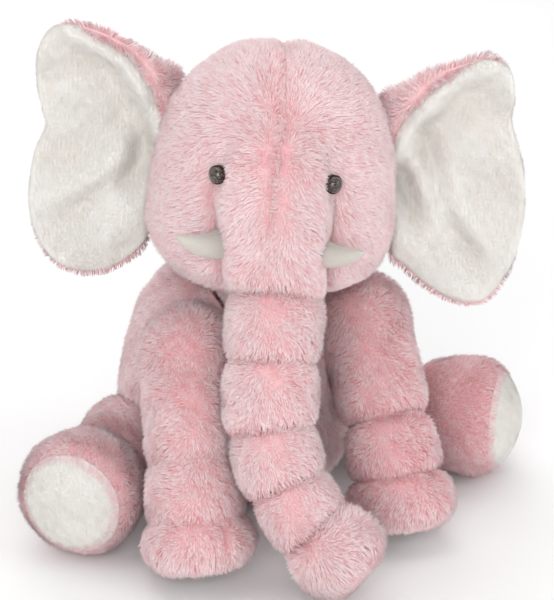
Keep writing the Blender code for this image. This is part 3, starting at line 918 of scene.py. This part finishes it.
def build_eye(name, side, gloss, rim_material):
    dome = [(-0.0060, 0.0), (-0.0060, EYE_RADIUS * 0.9), (-0.0010, EYE_RADIUS * 0.97)]
    dome += arc(0.0004, 0.0, 0.0052, EYE_RADIUS * 0.93, range(0, 90, 9))
    dome.append((0.0056, 0.0))
    eye = turned(f"{name}_eye_dome", dome, eye_matrix(side))
    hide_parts(f"{name}_eye", f"{name}_eye_washer")
    finish_eye_piece(eye, gloss)
    rim = [(-0.0050, 0.0), (-0.0050, EYE_RADIUS * 0.98)]
    rim += arc(0.0002, EYE_RADIUS * 0.96, 0.0007, 0.0007, range(-30, 151, 20))
    rim += [(-0.0040, EYE_RADIUS * 0.90), (-0.0040, 0.0)]
    finish_eye_piece(turned(f"{name}_eye_rim", rim, eye_matrix(side)), rim_material)


TUSK_ROOT = Vector((0.033, -0.079, -0.039))
TUSK_TIP = Vector((0.0690, -0.108, -0.0275))
TUSK_RADIUS = 0.0118
TUSK_BOW = 0.0085  # how far the tusk's curve is pulled down and forward
TUSK_SEAM = 0.0007
TUSK_RINGS = 25


def swept(name, control, radii, count=28):
    """A closed round form along a Bezier curve. Each radius is (how far along, radius)."""
    bm = bmesh.new()
    rings = []
    for t, radius in radii:
        middle, along = along_bezier(control, t)
        side = along.cross(Vector((0.13, 0.21, 1.0))).normalized()
        other = along.cross(side)
        rings.append([
            bm.verts.new(middle + side * radius * across + other * radius * up)
            for across, up in circle(count)
        ])
    skinned(bm, rings, [along_bezier(control, t)[0] for t, _ in (radii[0], radii[-1])])
    return mesh_object(name, bm)


def build_tusk(name, side):
    """A small tusk of cream velour, with the seam along its upper side drawn in."""
    root = HEAD @ mirrored(TUSK_ROOT, side)
    tip = HEAD @ mirrored(TUSK_TIP, side)
    middle = root.lerp(tip, 0.5) + head_way(0.0, -0.5, -0.9) * TUSK_BOW
    radii = []
    for k in range(TUSK_RINGS):
        t = k / (TUSK_RINGS - 1)
        radii.append((t * 0.995, TUSK_RADIUS * math.sqrt(max(0.012, 1.0 - t ** 3.2)) * (1.0 - 0.56 * t)))
    tusk = swept(f"{name}_tusk", (root, middle, tip), radii)
    points, _, normals = read_mesh(tusk)
    upper = normals @ np.array(head_way(0.0, -0.25, 1.0))
    set_points(tusk, points - normals * (TUSK_SEAM * np.clip((upper - 0.93) / 0.07, 0.0, 1.0))[:, None])
    finish_form(tusk, "head", TUSK_CLOTH, (f"{name}_tusk_skin", f"{name}_tusk_stuffing"))


def build_head():
    nodes = ("head_skin_left", "head_skin_right", "head_stuffing")
    root, after = Vector(TRUNK_POINTS[0]), Vector(TRUNK_POINTS[1])
    along = (after - root).normalized()
    bridge = [(middle, (0.0, 0.15, 1.0), width, depth) for middle, width, depth in BRIDGE_RINGS]
    bridge.append((root - along * 0.0055, -along, 0.0335, 0.0315))
    bridge.append((root - along * 0.0010, -along, 0.0290, 0.0280))
    bm = bmesh.new()
    ringed(bm, skull_rings())
    ringed(bm, bridge, square=2.7)
    bm.transform(HEAD)
    form = fused("head", bm, 0.0030, 4)
    room = open_share(form, tree_of(["left_ear_back", "right_ear_back", "trunk_1_skin"]), 0.004)
    press_face(form)
    finish_form(form, "head", PINK_CLOTH, nodes)
    grow_fur("head_pile", form, room, "head", head_comb, seed=31, trim=head_trim, tint=head_light_and_shade)
    gloss = eye_material()
    rim = plain_tone("eye_rim", (0.030, 0.024, 0.024), 0.35, 0.0)
    for name, side in SIDES:
        build_eye(name, side, gloss, rim)
        build_tusk(name, side)


# ---------------------------------------------------------------- ears

EAR_HINGE_TOP = Vector((0.0815, 0.012, 0.062))
EAR_CUP = 0.020
# Outlines as (outward, up): the white panel's upper edge, which cuts across from the ear's top to its root
# below the pink that wraps round, then the rest of the white panel, and the whole pink panel behind it
WHITE_TOP = {
    "right": ((0.1576, 0.0976), (0.1482, 0.0922), (0.1326, 0.0843), (0.1167, 0.0747), (0.1036, 0.0602),
              (0.0945, 0.0438), (0.0875, 0.0240)),
    "left": ((0.1530, 0.0985), (0.1417, 0.0927), (0.1277, 0.0812), (0.1140, 0.0666), (0.1018, 0.0513),
             (0.0945, 0.0363), (0.0890, 0.0200)),
}
WHITE_REST = {
    "right": ((0.0895, -0.006), (0.0930, -0.038), (0.0940, -0.066), (0.1015, -0.0805), (0.1190, -0.0925),
              (0.1410, -0.0960), (0.1640, -0.0890), (0.1793, -0.0730), (0.1865, -0.0505), (0.1877, -0.030),
              (0.1850, -0.006), (0.1770, 0.0148), (0.1797, 0.0265), (0.1858, 0.046), (0.1860, 0.0725),
              (0.1805, 0.0888), (0.1700, 0.0968)),
    "left": ((0.0905, -0.008), (0.0950, -0.038), (0.0990, -0.066), (0.1085, -0.0738), (0.1290, -0.0862),
             (0.1520, -0.0945), (0.1740, -0.0925), (0.1878, -0.0740), (0.1958, -0.0455), (0.1968, -0.017),
             (0.1930, 0.011), (0.1860, 0.031), (0.1790, 0.050), (0.1784, 0.066), (0.1742, 0.086),
             (0.1660, 0.0965)),
}
EAR_OUTLINE = {
    "right": ((0.0780, 0.0620), (0.0975, 0.0715), (0.1210, 0.0850), (0.1430, 0.0945), (0.1580, 0.0975),
              (0.1680, 0.0950), (0.1770, 0.0870), (0.1825, 0.0720), (0.1825, 0.0460), (0.1765, 0.0265),
              (0.1735, 0.0148), (0.1815, -0.0065), (0.1845, -0.0300), (0.1835, -0.0500), (0.1785, -0.0735),
              (0.1645, -0.0900), (0.1410, -0.0978), (0.1185, -0.0942), (0.1005, -0.0820), (0.0940, -0.0665),
              (0.0935, -0.0380), (0.0895, -0.0060), (0.0850, 0.0260), (0.0795, 0.0500)),
    "left": ((0.0785, 0.0570), (0.0940, 0.0665), (0.1145, 0.0815), (0.1360, 0.0915), (0.1520, 0.0990),
             (0.1640, 0.0955), (0.1705, 0.0850), (0.1750, 0.0660), (0.1755, 0.0500), (0.1825, 0.0310),
             (0.1895, 0.0110), (0.1935, -0.0170), (0.1925, -0.0455), (0.1880, -0.0745), (0.1750, -0.0940),
             (0.1520, -0.0965), (0.1280, -0.0880), (0.1075, -0.0755), (0.0985, -0.0680), (0.0955, -0.0380),
             (0.0910, -0.0080), (0.0860, 0.0240), (0.0805, 0.0460)),
}
EAR_MIDDLE = np.array((0.145, 0.004))
EAR_LOOP = 150  # points round an outline
EAR_LEVELS = 15  # rings of points from an outline to the middle
WHITE_RISE = 0.0034  # how far the white panel stands forward of the ear's middle
WHITE_BACK = 0.0002
PINK_GAP = 0.0007  # between the ear's middle and the pink behind the white panel
PINK_WRAP = 0.0026  # how far the pink comes forward beside the white panel
PINK_BACK_GAP = 0.0009
PINK_BACK_RISE = 0.0042
RIM_HOLLOW = 0.0105  # depth of the hollow under the rolled upper rim
RIM_ROLL = 0.0062  # how far that rim stands forward
RIPPLE_DEPTH = 0.0026
# The ear's hollows get a painted shade, in tones per metre of their depth.
HOLLOW_PAINTED_SHADE = 230.0  # tones per metre of depth
# Soft folds in each white panel: (from, to, depth, half width)
EAR_FOLDS = {
    "right": (
        ((0.096, 0.034), (0.110, -0.024), 0.0085, 0.0070),
        ((0.100, -0.012), (0.158, -0.052), 0.0050, 0.0065),
        ((0.130, 0.036), (0.168, 0.028), 0.0030, 0.0070),
    ),
    "left": (
        ((0.093, 0.018), (0.116, -0.040), 0.0075, 0.0065),
        ((0.114, 0.026), (0.140, -0.034), 0.0058, 0.0065),
        ((0.140, -0.034), (0.166, -0.066), 0.0045, 0.0060),
    ),
}


def closed_curve(control, count):
    """Evenly spaced points on a smooth closed curve through control points."""
    control = np.array(control, float)
    size = len(control)
    fine = []
    for k in range(size):
        a, b, c, d = (control[(k + step - 1) % size] for step in range(4))
        for t in np.linspace(0.0, 1.0, 16, endpoint=False):
            fine.append(0.5 * (2 * b + (c - a) * t + (2 * a - 5 * b + 4 * c - d) * t ** 2
                               + (3 * b - a - 3 * c + d) * t ** 3))
    fine = np.array(fine + [fine[0]])
    steps = np.concatenate([[0.0], np.cumsum(np.linalg.norm(np.diff(fine, axis=0), axis=1))])
    wanted = np.linspace(0.0, steps[-1], count, endpoint=False)
    return np.stack([np.interp(wanted, steps, fine[:, k]) for k in range(2)], axis=1)


def distance_to_line(flat, first, last):
    """(distance from a straight line, how far along it) of points in the ear's plane."""
    first, last = np.array(first), np.array(last)
    way = last - first
    t = ((flat - first) @ way / (way @ way)).clip(0.0, 1.0)
    return np.linalg.norm(flat - (first + t[:, None] * way), axis=1), t


def closed(loop):
    return np.concatenate([loop, loop[:1]])


def distance_to_path(flat, path):
    return np.min([distance_to_line(flat, a, b)[0] for a, b in zip(path, path[1:])], axis=0)


def ear_middle(flat):
    """How far back the middle of the ear is: cupped, with its rim forward."""
    across = np.maximum(0.0, (flat[:, 0] - 0.085) / 0.115)
    rise = (flat[:, 1] - 0.004) / 0.105
    rim = np.minimum(1.0, across ** 2 * 0.8 + rise ** 2 * 0.8)
    return EAR_HINGE_TOP.y + EAR_CUP * (0.55 * across - rim * np.minimum(1.0, 3.0 * across)) - 0.001


EAR_RIPPLE = Waves(17, 0.042)


def ear_waves(name, flat):
    """The relief of the ear: folds from the root, the hollow under the rolled upper rim, and that rim."""
    relief = np.zeros(len(flat))
    for first, last, depth, width in EAR_FOLDS[name]:
        away, t = distance_to_line(flat, first, last)
        taper = np.sin(np.pi * (0.12 + 0.76 * t))
        fold = np.exp(-(away / width) ** 2) - 0.45 * np.exp(-((away - 2.2 * width) / width) ** 2)
        relief += depth * taper * fold
    under = distance_to_path(flat, WHITE_TOP[name])
    inner = np.clip((0.180 - flat[:, 0]) / 0.05, 0.0, 1.0)
    relief += RIM_HOLLOW * np.exp(-((under - 0.0250) / 0.0120) ** 2) * inner
    relief -= RIM_ROLL * np.exp(-((under - 0.0070) / 0.0065) ** 2)
    relief += RIPPLE_DEPTH * EAR_RIPPLE.values(np.stack([flat[:, 0], flat[:, 1], 0.0 * flat[:, 0]], axis=1))
    return relief


def pillow(outline, front, back, levels=EAR_LEVELS, count=EAR_LOOP):
    """A closed sheet inside an outline of the ear's plane. front and back give its two faces' depths from
    points and their distances from the edge."""
    loop = closed_curve(outline, count)
    shares = [1.0 - (k / levels) ** 1.6 for k in range(levels)]
    layers = [EAR_MIDDLE + (loop - EAR_MIDDLE) * share for share in shares]
    flat = np.concatenate(layers + [EAR_MIDDLE[None]])
    edge = distance_to_path(flat, closed(loop))
    edge[:count] = 0.0
    faces = []
    past = len(flat) - count  # from a point of the near face to the same point of the far one

    def index(layer, k, side):
        if layer == 0:
            return k % count
        return layer * count + k % count + side * past

    for side in (0, 1):
        for layer in range(levels - 1):
            for k in range(count):
                quad = (index(layer, k, side), index(layer, k + 1, side),
                        index(layer + 1, k + 1, side), index(layer + 1, k, side))
                faces.append(quad if side else quad[::-1])
        pole = levels * count + side * past
        for k in range(count):
            fan = (index(levels - 1, k, side), index(levels - 1, k + 1, side), pole)
            faces.append(fan if side else fan[::-1])
    near_face, far_face = front(flat, edge), back(flat, edge)
    shared = (near_face[:count] + far_face[:count]) / 2.0
    depths = np.concatenate([shared, near_face[count:], far_face[count:]])
    flats = np.concatenate([flat, flat[count:]])
    return np.stack([flats[:, 0], depths, flats[:, 1]], axis=1), faces


def rounded(edge, width):
    """0 at the edge of a sheet, 1 from a width inward, round like the edge of a cushion."""
    return np.sqrt(1.0 - (1.0 - np.clip(edge / width, 0.0, 1.0)) ** 2)


def flat_of(points, side):
    """Points of the row frame in the ear's plane: (outward, up)."""
    at = in_head(points)
    return np.stack([at[:, 0] * side, at[:, 2]], axis=1)


def outside(flat, loop):
    """1 outside a closed loop of the ear's plane and 0 inside it."""
    turn = np.zeros(len(flat))
    for first, last in zip(loop, np.roll(loop, -1, axis=0)):
        a, b = first - flat, last - flat
        turn += np.arctan2(a[:, 0] * b[:, 1] - a[:, 1] * b[:, 0], (a * b).sum(1))
    return (np.abs(turn) < math.pi).astype(float)


def ear_object(name, side, points, faces):
    place = np.array(HEAD, float)
    points = (points * [side, 1.0, 1.0]) @ place[:3, :3].T + place[:3, 3]
    mesh = bpy.data.meshes.new("sheet")
    mesh.from_pydata([tuple(point) for point in points], [], faces)
    bm = bmesh.new()
    bm.from_mesh(mesh)
    bpy.data.meshes.remove(mesh)
    bmesh.ops.recalc_face_normals(bm, faces=bm.faces)
    return mesh_object(name, bm)


def build_ear(name, side):
    """The white panel, and the pink one behind it that wraps forward round its upper edge."""
    body = f"{name}_ear"
    white_outline = WHITE_TOP[name] + WHITE_REST[name]
    white_loop = closed_curve(white_outline, EAR_LOOP)
    front_way = np.array(head_way(0.0, -1.0, 0.0))

    def ground(flat):
        return ear_middle(flat) + ear_waves(name, flat)

    def white_front(flat, edge):
        return ground(flat) - WHITE_RISE * rounded(edge, 0.005)

    def white_back(flat, edge):
        return ground(flat) + WHITE_BACK * rounded(edge, 0.004)

    def pink_front(flat, edge):
        beside = outside(flat, white_loop) * distance_to_path(flat, closed(white_loop))
        return ground(flat) + PINK_GAP - PINK_WRAP * np.clip(beside / 0.006, 0.0, 1.0) * rounded(edge, 0.005)

    def pink_back(flat, edge):
        smoothed = ground(flat) * 0.7 + ear_middle(flat) * 0.3
        return smoothed + PINK_BACK_GAP + PINK_BACK_RISE * rounded(edge, 0.008)

    def pink_comb(points):
        """Away from the ear's root, downward and back."""
        at = in_head(points)
        lay = np.stack([at[:, 0] - 0.125 * side, np.full(len(at), 0.012), at[:, 2] * 0.6 - 0.020], axis=1)
        return turned_with_head(lay * 12.0)

    def pink_trim(points):
        """Shorter where the white panel meets it at the ear's edge."""
        edge = distance_to_path(flat_of(points, side), np.array(WHITE_REST[name]))
        return 1.0 - 0.35 * np.exp(-(edge / 0.007) ** 2)

    def white_hollow_shade(points):
        """Warmer and deeper in the hollows: a painted shade."""
        return -HOLLOW_PAINTED_SHADE * np.maximum(0.0, ear_waves(name, flat_of(points, side)))

    white = ear_object(f"{name}_ear_nap", side, *pillow(white_outline, white_front, white_back))
    finish_form(white, body, WHITE_CLOTH, (f"{name}_ear_front",))
    pink = ear_object(f"{name}_ear_plush", side, *pillow(EAR_OUTLINE[name], pink_front, pink_back))
    finish_form(pink, body, PINK_CLOTH, (f"{name}_ear_back",))
    _, _, normals = read_mesh(white)
    white_room = (normals @ front_way > -0.55).astype(float)
    points, _, normals = read_mesh(pink)
    covered = (normals @ front_way > 0.25) & (outside(flat_of(points, side), white_loop) < 0.5)
    down = np.array(head_way(0.10 * side, 0.0, -1.0))
    seed = int(side)
    grow_fur(f"{name}_ear_nap_pile", white, white_room, body, down, 41 + seed, WHITE_NAP, tint=white_hollow_shade)
    grow_fur(f"{name}_ear_pile", pink, 1.0 - covered, body, pink_comb, 51 + seed, scale=0.9, trim=pink_trim)


# ---------------------------------------------------------------- trunk

ROLL_RADII = (0.0385, 0.0375, 0.0355, 0.0335, 0.0370)
ROLL_ROUND = 0.0150  # how much of each end of a roll is rounded in towards its crease
CREASE_DROP = 0.0088  # how far the cloth is drawn in at a crease
ROLL_SINK = 0.0068


ROLL_SHARES = (0.012, 0.03, 0.06, 0.10, 0.15, 0.21, 0.30, 0.5, 0.70, 0.79, 0.85, 0.90, 0.94, 0.97, 0.988)
TIP_ROUND = 0.014  # how far the tip's free end is rounded off
TIP_WAIST = 0.0035  # how much slimmer the tip starts


def roll_rings(control, length, radius, tip):
    """A puffed roll of the trunk, closed at both creases; the tip is rounded off at its far end instead."""
    rings = []
    for share in ROLL_SHARES:
        middle, along = along_bezier(control, share)
        if tip and share >= 0.5:
            drop = TIP_ROUND
            inward = min(1.0, (1.0 - share) * length / TIP_ROUND)
        else:
            drop = CREASE_DROP
            inward = min(1.0, min(share * length, (1.0 - share) * length) / ROLL_ROUND)
        size = radius - ROLL_SINK - drop * (1.0 - math.sqrt(1.0 - (1.0 - inward) ** 2))
        if tip:
            size -= TIP_WAIST * (1.0 - min(1.0, share / 0.55))
        rings.append((middle, along, size, size))
    return rings


def build_roll(k, control, tip):
    name = "trunk_tip" if tip else f"trunk_{k + 1}"
    start, end = control[0], control[-1]
    length = (end - start).length
    along = np.array((end - start).normalized())
    middle = np.array(start.lerp(end, 0.5))

    def place_along(points):
        """-1 at the crease above, 1 at the one below."""
        return (points - middle) @ along / (length / 2.0)

    def comb(points):
        """Down the trunk, and back over the crease above; on the tip, down and outward."""
        away = place_along(points)
        if tip:
            return along[None] * np.clip(away + 0.75, -0.6, 1.1)[:, None]
        return along[None] * (0.72 + 0.42 * away ** 3)[:, None]

    def tint(points):
        """Paler than the rest of the pile, a painted light, and deeper next to the creases, a painted shade.
        """
        return 0.25 - 1.8 * np.clip((np.abs(place_along(points)) - 0.72) / 0.28, 0.0, 1.0)

    bm = bmesh.new()
    ringed(bm, roll_rings(control, length, ROLL_RADII[k], tip), 40)
    form = mesh_object(f"{name}_cover", bm)
    points, _, _ = read_mesh(form)
    puffed(form, np.clip((np.abs(place_along(points)) - 0.80) / 0.10, 0.0, 1.0), cap=0.0018)
    finish_form(form, name, PINK_CLOTH, (f"{name}_skin", f"{name}_stuffing"))
    points, _, normals = read_mesh(form)
    flat_end = np.abs(normals @ along) > 0.88
    room = 1.0 - (flat_end & ((place_along(points) < 0.0) | (not tip)))
    grow_fur(f"{name}_pile", form, room, name, comb, 61 + k, scale=1.1 if tip else 0.9, tint=tint)


def build_trunk():
    points = [head_point(*point) for point in TRUNK_POINTS]
    ways = [(points[1] - points[0]).normalized()]
    for before, here, after in zip(points, points[1:], points[2:]):
        ways.append(((here - before).normalized() + (after - here).normalized()).normalized())
    ways.append((points[-1] - points[-2]).normalized())
    last = len(points) - 2
    for k in range(last + 1):
        start, end = points[k], points[k + 1]
        reach = (end - start).length * 0.36
        build_roll(k, (start, start + ways[k] * reach, end - ways[k + 1] * reach, end), k == last)


# ---------------------------------------------------------------- legs and tail

SHOULDER = Vector((0.077, -0.070, 0.148))
FRONT_SOLE = {"left": Vector((0.060, -0.168, 0.017)), "right": Vector((-0.112, -0.158, 0.017))}
FRONT_TILT = math.radians(15.0)
FRONT_RADII = (
    (0.10, 0.0365), (0.34, 0.0360), (0.52, 0.0345), (0.68, 0.0375), (0.80, 0.0385), (0.91, 0.0455),
    (1.0, 0.0450),
)
FRONT_BALL = 0.0365
REAR_RADII = ((0.16, 0.0380), (0.44, 0.0375), (0.70, 0.0475), (0.90, 0.0500), (1.0, 0.0485))
REAR_BALL = 0.0385
FRONT_REACH = 0.080  # how far above its sole a front leg stands square to it
FOOT_ROUND = 0.020  # how much of a foot is rounded under towards its sole
FOOT_DROP = 0.013  # how far that draws its edge in
LIMB_RINGS = 52
PAD_DOME = (1.0, 0.97, 0.92, 0.85, 0.75, 0.63, 0.49, 0.34, 0.18, 0.06)  # shares of its radius
PAD_WRINKLE = 0.0008
FRONT_PAD = (0.0315, 0.0035)  # radius and rise
REAR_PADS = {"left": (0.0405, 0.0170), "right": (0.0400, 0.0105)}
# Creases round each leg: how far along, half width, depth
FRONT_CREASES = {
    "left": ((0.50, 0.0060, 0.0075), (0.77, 0.0055, 0.0060)),
    "right": ((0.52, 0.0060, 0.0018), (0.79, 0.0055, 0.0024)),
}
REAR_CREASES = ((0.48, 0.0070, 0.0040),)
# The darkening of the pile along the legs' creases and seams is a painted shade.
CREASE_FULL = 0.006  # a crease this deep is as dark as it gets
# The short seam down each front leg: how far to its left side, and from where to where above the sole
FRONT_SEAMS = {"left": (0.011, 0.030, 0.074), "right": (0.004, 0.004, 0.036)}
SEAM_PRESS = 0.0034  # its depth, and its half width
# How many tones deeper each leg's pile is than the usual: a painted shade, most on the left side, which
# faces away from the key light
FRONT_PAINTED_SHADE = {"left": 0.8, "right": 0.2}
REAR_PAINTED_SHADE = {"left": 1.7, "right": 0.4}
HIP = Vector((0.098, 0.000, 0.050))
REAR_PAD = {"left": Vector((0.196, -0.098, 0.0495)), "right": Vector((-0.186, -0.082, 0.0495))}


def front_curve(name, side):
    sole = FRONT_SOLE[name]
    out = Vector((0.0, -math.sin(FRONT_TILT), -math.cos(FRONT_TILT)))
    return (mirrored(SHOULDER, side), sole - out * FRONT_REACH, sole)


def rear_curve(name, side):
    pivot = mirrored(HIP, side)
    pad = REAR_PAD[name]
    return (pivot, (pivot + pad) / 2, pad)


def limb_rings(curve, ball, radii):
    """Rings from the round end in the body's socket to the foot, whose edge is rounded under."""
    start, forward = along_bezier(curve, 0.0)
    rings = []
    for degrees in range(14, 85, 14):
        angle = math.radians(degrees)
        size = (ball - CLOTH_GAP) * math.sin(angle)
        rings.append((start - forward * (ball - CLOTH_GAP) * math.cos(angle), forward, size, size))
    places = [0.0] + [t for t, _ in radii]
    sizes = [ball] + [radius for _, radius in radii]
    length = (curve[-1] - curve[0]).length
    for t in np.linspace(0.04, 0.992, LIMB_RINGS):
        middle, along = along_bezier(curve, t)
        eased = np.interp(t + np.array((-0.03, -0.015, 0.0, 0.015, 0.03)), places, sizes).mean()
        under = 1.0 - min(1.0, (1.0 - t) * length / FOOT_ROUND)
        drawn = SINK * min(1.0, t / 0.18)
        size = eased - CLOTH_GAP - drawn - FOOT_DROP * (1.0 - math.sqrt(1.0 - under ** 2))
        rings.append((middle, along, size, size))
    return rings


def build_pad(name, curve, radius, height):
    """The white pad sewn into a foot: a low dome of short nap, whose edge is under the pink pile."""
    foot, out = along_bezier(curve, 1.0)
    rings = [(foot - out * 0.0030, out, radius * 0.96, radius * 0.96)]
    for share in PAD_DOME:
        rise = height * (1.0 - share ** 2.4)
        rings.append((foot + out * (rise - 0.0010), out, radius * share, radius * share))
    bm = bmesh.new()
    ringed(bm, rings, 44)
    form = mesh_object(f"{name}_pad", bm)
    points, _, _ = read_mesh(form)
    out = np.array(out)
    inside = np.linalg.norm(tangent(points - np.array(foot), out[None]), axis=1) / radius
    set_points(form, points + out * (SWIRL.values(points) * PAD_WRINKLE * (inside < 0.9))[:, None])
    finish_form(form, name, WHITE_CLOTH, (f"{name}_sole",))
    _, _, normals = read_mesh(form)
    room = (normals @ out > 0.0).astype(float)
    grow_fur(f"{name}_pad_pile", form, room, name, (0.25, 0.0, -1.0), 71, WHITE_NAP)


def crease_share(points, curve, creases, spread):
    """1 on a deep crease, 0 away from any."""
    share = np.zeros(len(points))
    for t, width, depth in creases:
        centre, along = along_bezier(curve, t)
        away = (points - np.array(centre)) @ np.array(along)
        share = np.maximum(share, min(1.0, depth / CREASE_FULL) * np.exp(-(away / (width * spread)) ** 2))
    return share


def seam_share(points, foot, out, seam):
    """1 on the seam down the front of a leg, 0 away from it."""
    if seam is None:
        return np.zeros(len(points))
    aside, first, last = seam
    sideways = out.cross(Vector((0.0, 1.0, 0.0))).normalized()
    if sideways.x < 0.0:
        sideways = -sideways
    at = points - np.array(foot)
    height = -at @ np.array(out)
    away = at @ np.array(sideways) - aside
    in_front = (at @ np.array((0.0, -1.0, 0.0)) - height * abs(out.y)) > 0.0
    ends = np.clip((height - first) / 0.006, 0.0, 1.0) * np.clip((last - height) / 0.006, 0.0, 1.0)
    return np.exp(-(away / SEAM_PRESS) ** 2) * in_front * ends


def build_leg(name, curve, ball, radii, creases, seam, pad, leg_shade, seed):
    foot, out = along_bezier(curve, 1.0)
    hip, _ = along_bezier(curve, 0.0)
    foot_at, out_way = np.array(foot), np.array(out)

    def beyond(points):
        """How far past the sole's plane."""
        return (points - foot_at) @ out_way

    def comb(points):
        """Down the leg, and well over the edge of the sole."""
        return out_way[None] * (0.80 + 0.7 * np.exp(-(beyond(points) / 0.012) ** 2))[:, None]

    # Painted shade: deeper over the whole leg, in its creases and along its seam.
    def tint(points):
        creased = crease_share(points, curve, creases, 1.3)
        return -leg_shade - 1.6 * creased - 2.0 * seam_share(points, foot, out, seam)

    def trim(points):
        """Clipped short where the leg sits on the floor, and caught down along its creases."""
        caught = 0.45 * crease_share(points, curve, creases, 0.9) + 0.50 * seam_share(points, foot, out, seam)
        return np.clip(points[:, 2] / 0.012, 0.35, 1.0) * (1.0 - caught)

    bm = bmesh.new()
    ringed(bm, limb_rings(curve, ball, radii), 44)
    form = mesh_object(f"{name}_cover", bm)
    for t, width, depth in creases:
        press(form, *along_bezier(curve, t), width, depth, within=0.055)
    points, _, normals = read_mesh(form)
    fixed = np.linalg.norm(points - np.array(hip), axis=1) < ball * 1.05
    fixed |= (normals @ out_way > 0.8) | (beyond(points) > -0.004)
    puffed(form, np.maximum(crease_share(points, curve, creases, 0.8), fixed), cap=0.0022)
    finish_form(form, name, PINK_CLOTH, (f"{name}_skin", f"{name}_stuffing"))
    points, _, normals = read_mesh(form)
    set_points(form, points - normals * (SEAM_PRESS * seam_share(points, foot, out, seam))[:, None])
    room = open_share(form, tree_of([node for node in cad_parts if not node.startswith(name)]), 0.0035)
    across = np.linalg.norm(tangent(points - foot_at, out_way[None]), axis=1)
    room = np.minimum(room, 1.0 - ((beyond(points) > -0.003) & (across < pad[0] * 0.93)))
    grow_fur(f"{name}_pile", form, room, name, comb, seed, tint=tint, trim=trim)
    build_pad(name, curve, *pad)


def build_tail():
    form, room = soft_form("tail_cover", ("tail",), sink=0.003, voxel=0.0022)
    finish_form(form, "tail", PINK_CLOTH, ("tail",))
    grow_fur("tail_pile", form, room, "tail", (0.0, 0.2, -1.0), seed=91, scale=0.8)


LABEL_WIDTH = 0.018
LABEL_LENGTH = 0.024
LABEL_THICK = 0.0008
LABEL_START = 0.0805  # where it leaves the seam, behind the body's middle
LABEL_CUTS = 12
LABEL_PLACE = Matrix.Translation((0.040, 0.0, 0.030)) @ Matrix.Rotation(math.radians(-8.0), 4, "Z")


def build_label():
    """A blank folded ribbon sewn in low on the back."""
    middle = Matrix.Translation((0.0, LABEL_START + LABEL_LENGTH / 2, 0.0))
    bm = bmesh.new()
    bmesh.ops.create_cube(bm, size=1.0)
    bm.transform(middle @ Matrix.Diagonal((LABEL_WIDTH, LABEL_LENGTH, LABEL_THICK, 1.0)))
    bmesh.ops.subdivide_edges(bm, edges=bm.edges[:], cuts=LABEL_CUTS, use_grid_fill=True)
    for vert in bm.verts:
        reach = (vert.co.y - LABEL_START) / LABEL_LENGTH
        vert.co.z -= 0.0045 * max(0.0, reach) ** 2 - 0.0006 * math.sin(reach * 5.0 + vert.co.x * 200.0)
    bm.transform(LABEL_PLACE)
    label = mesh_object("label", bm)
    label.data.materials.append(LABEL_CLOTH)
    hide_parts("care_label")
    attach(label, "body")


build_studio()
build_body()
build_neck()
build_head()
for side_name, side_sign in SIDES:
    build_ear(side_name, side_sign)
build_trunk()
for order, (side_name, side_sign) in enumerate(SIDES):
    build_leg(f"{side_name}_front_leg", front_curve(side_name, side_sign), FRONT_BALL, FRONT_RADII,
              FRONT_CREASES[side_name], FRONT_SEAMS[side_name], FRONT_PAD, FRONT_PAINTED_SHADE[side_name], 81 + order)
    build_leg(f"{side_name}_rear_leg", rear_curve(side_name, side_sign), REAR_BALL, REAR_RADII,
              REAR_CREASES, None, REAR_PADS[side_name], REAR_PAINTED_SHADE[side_name], 85 + order)
build_tail()
build_label()
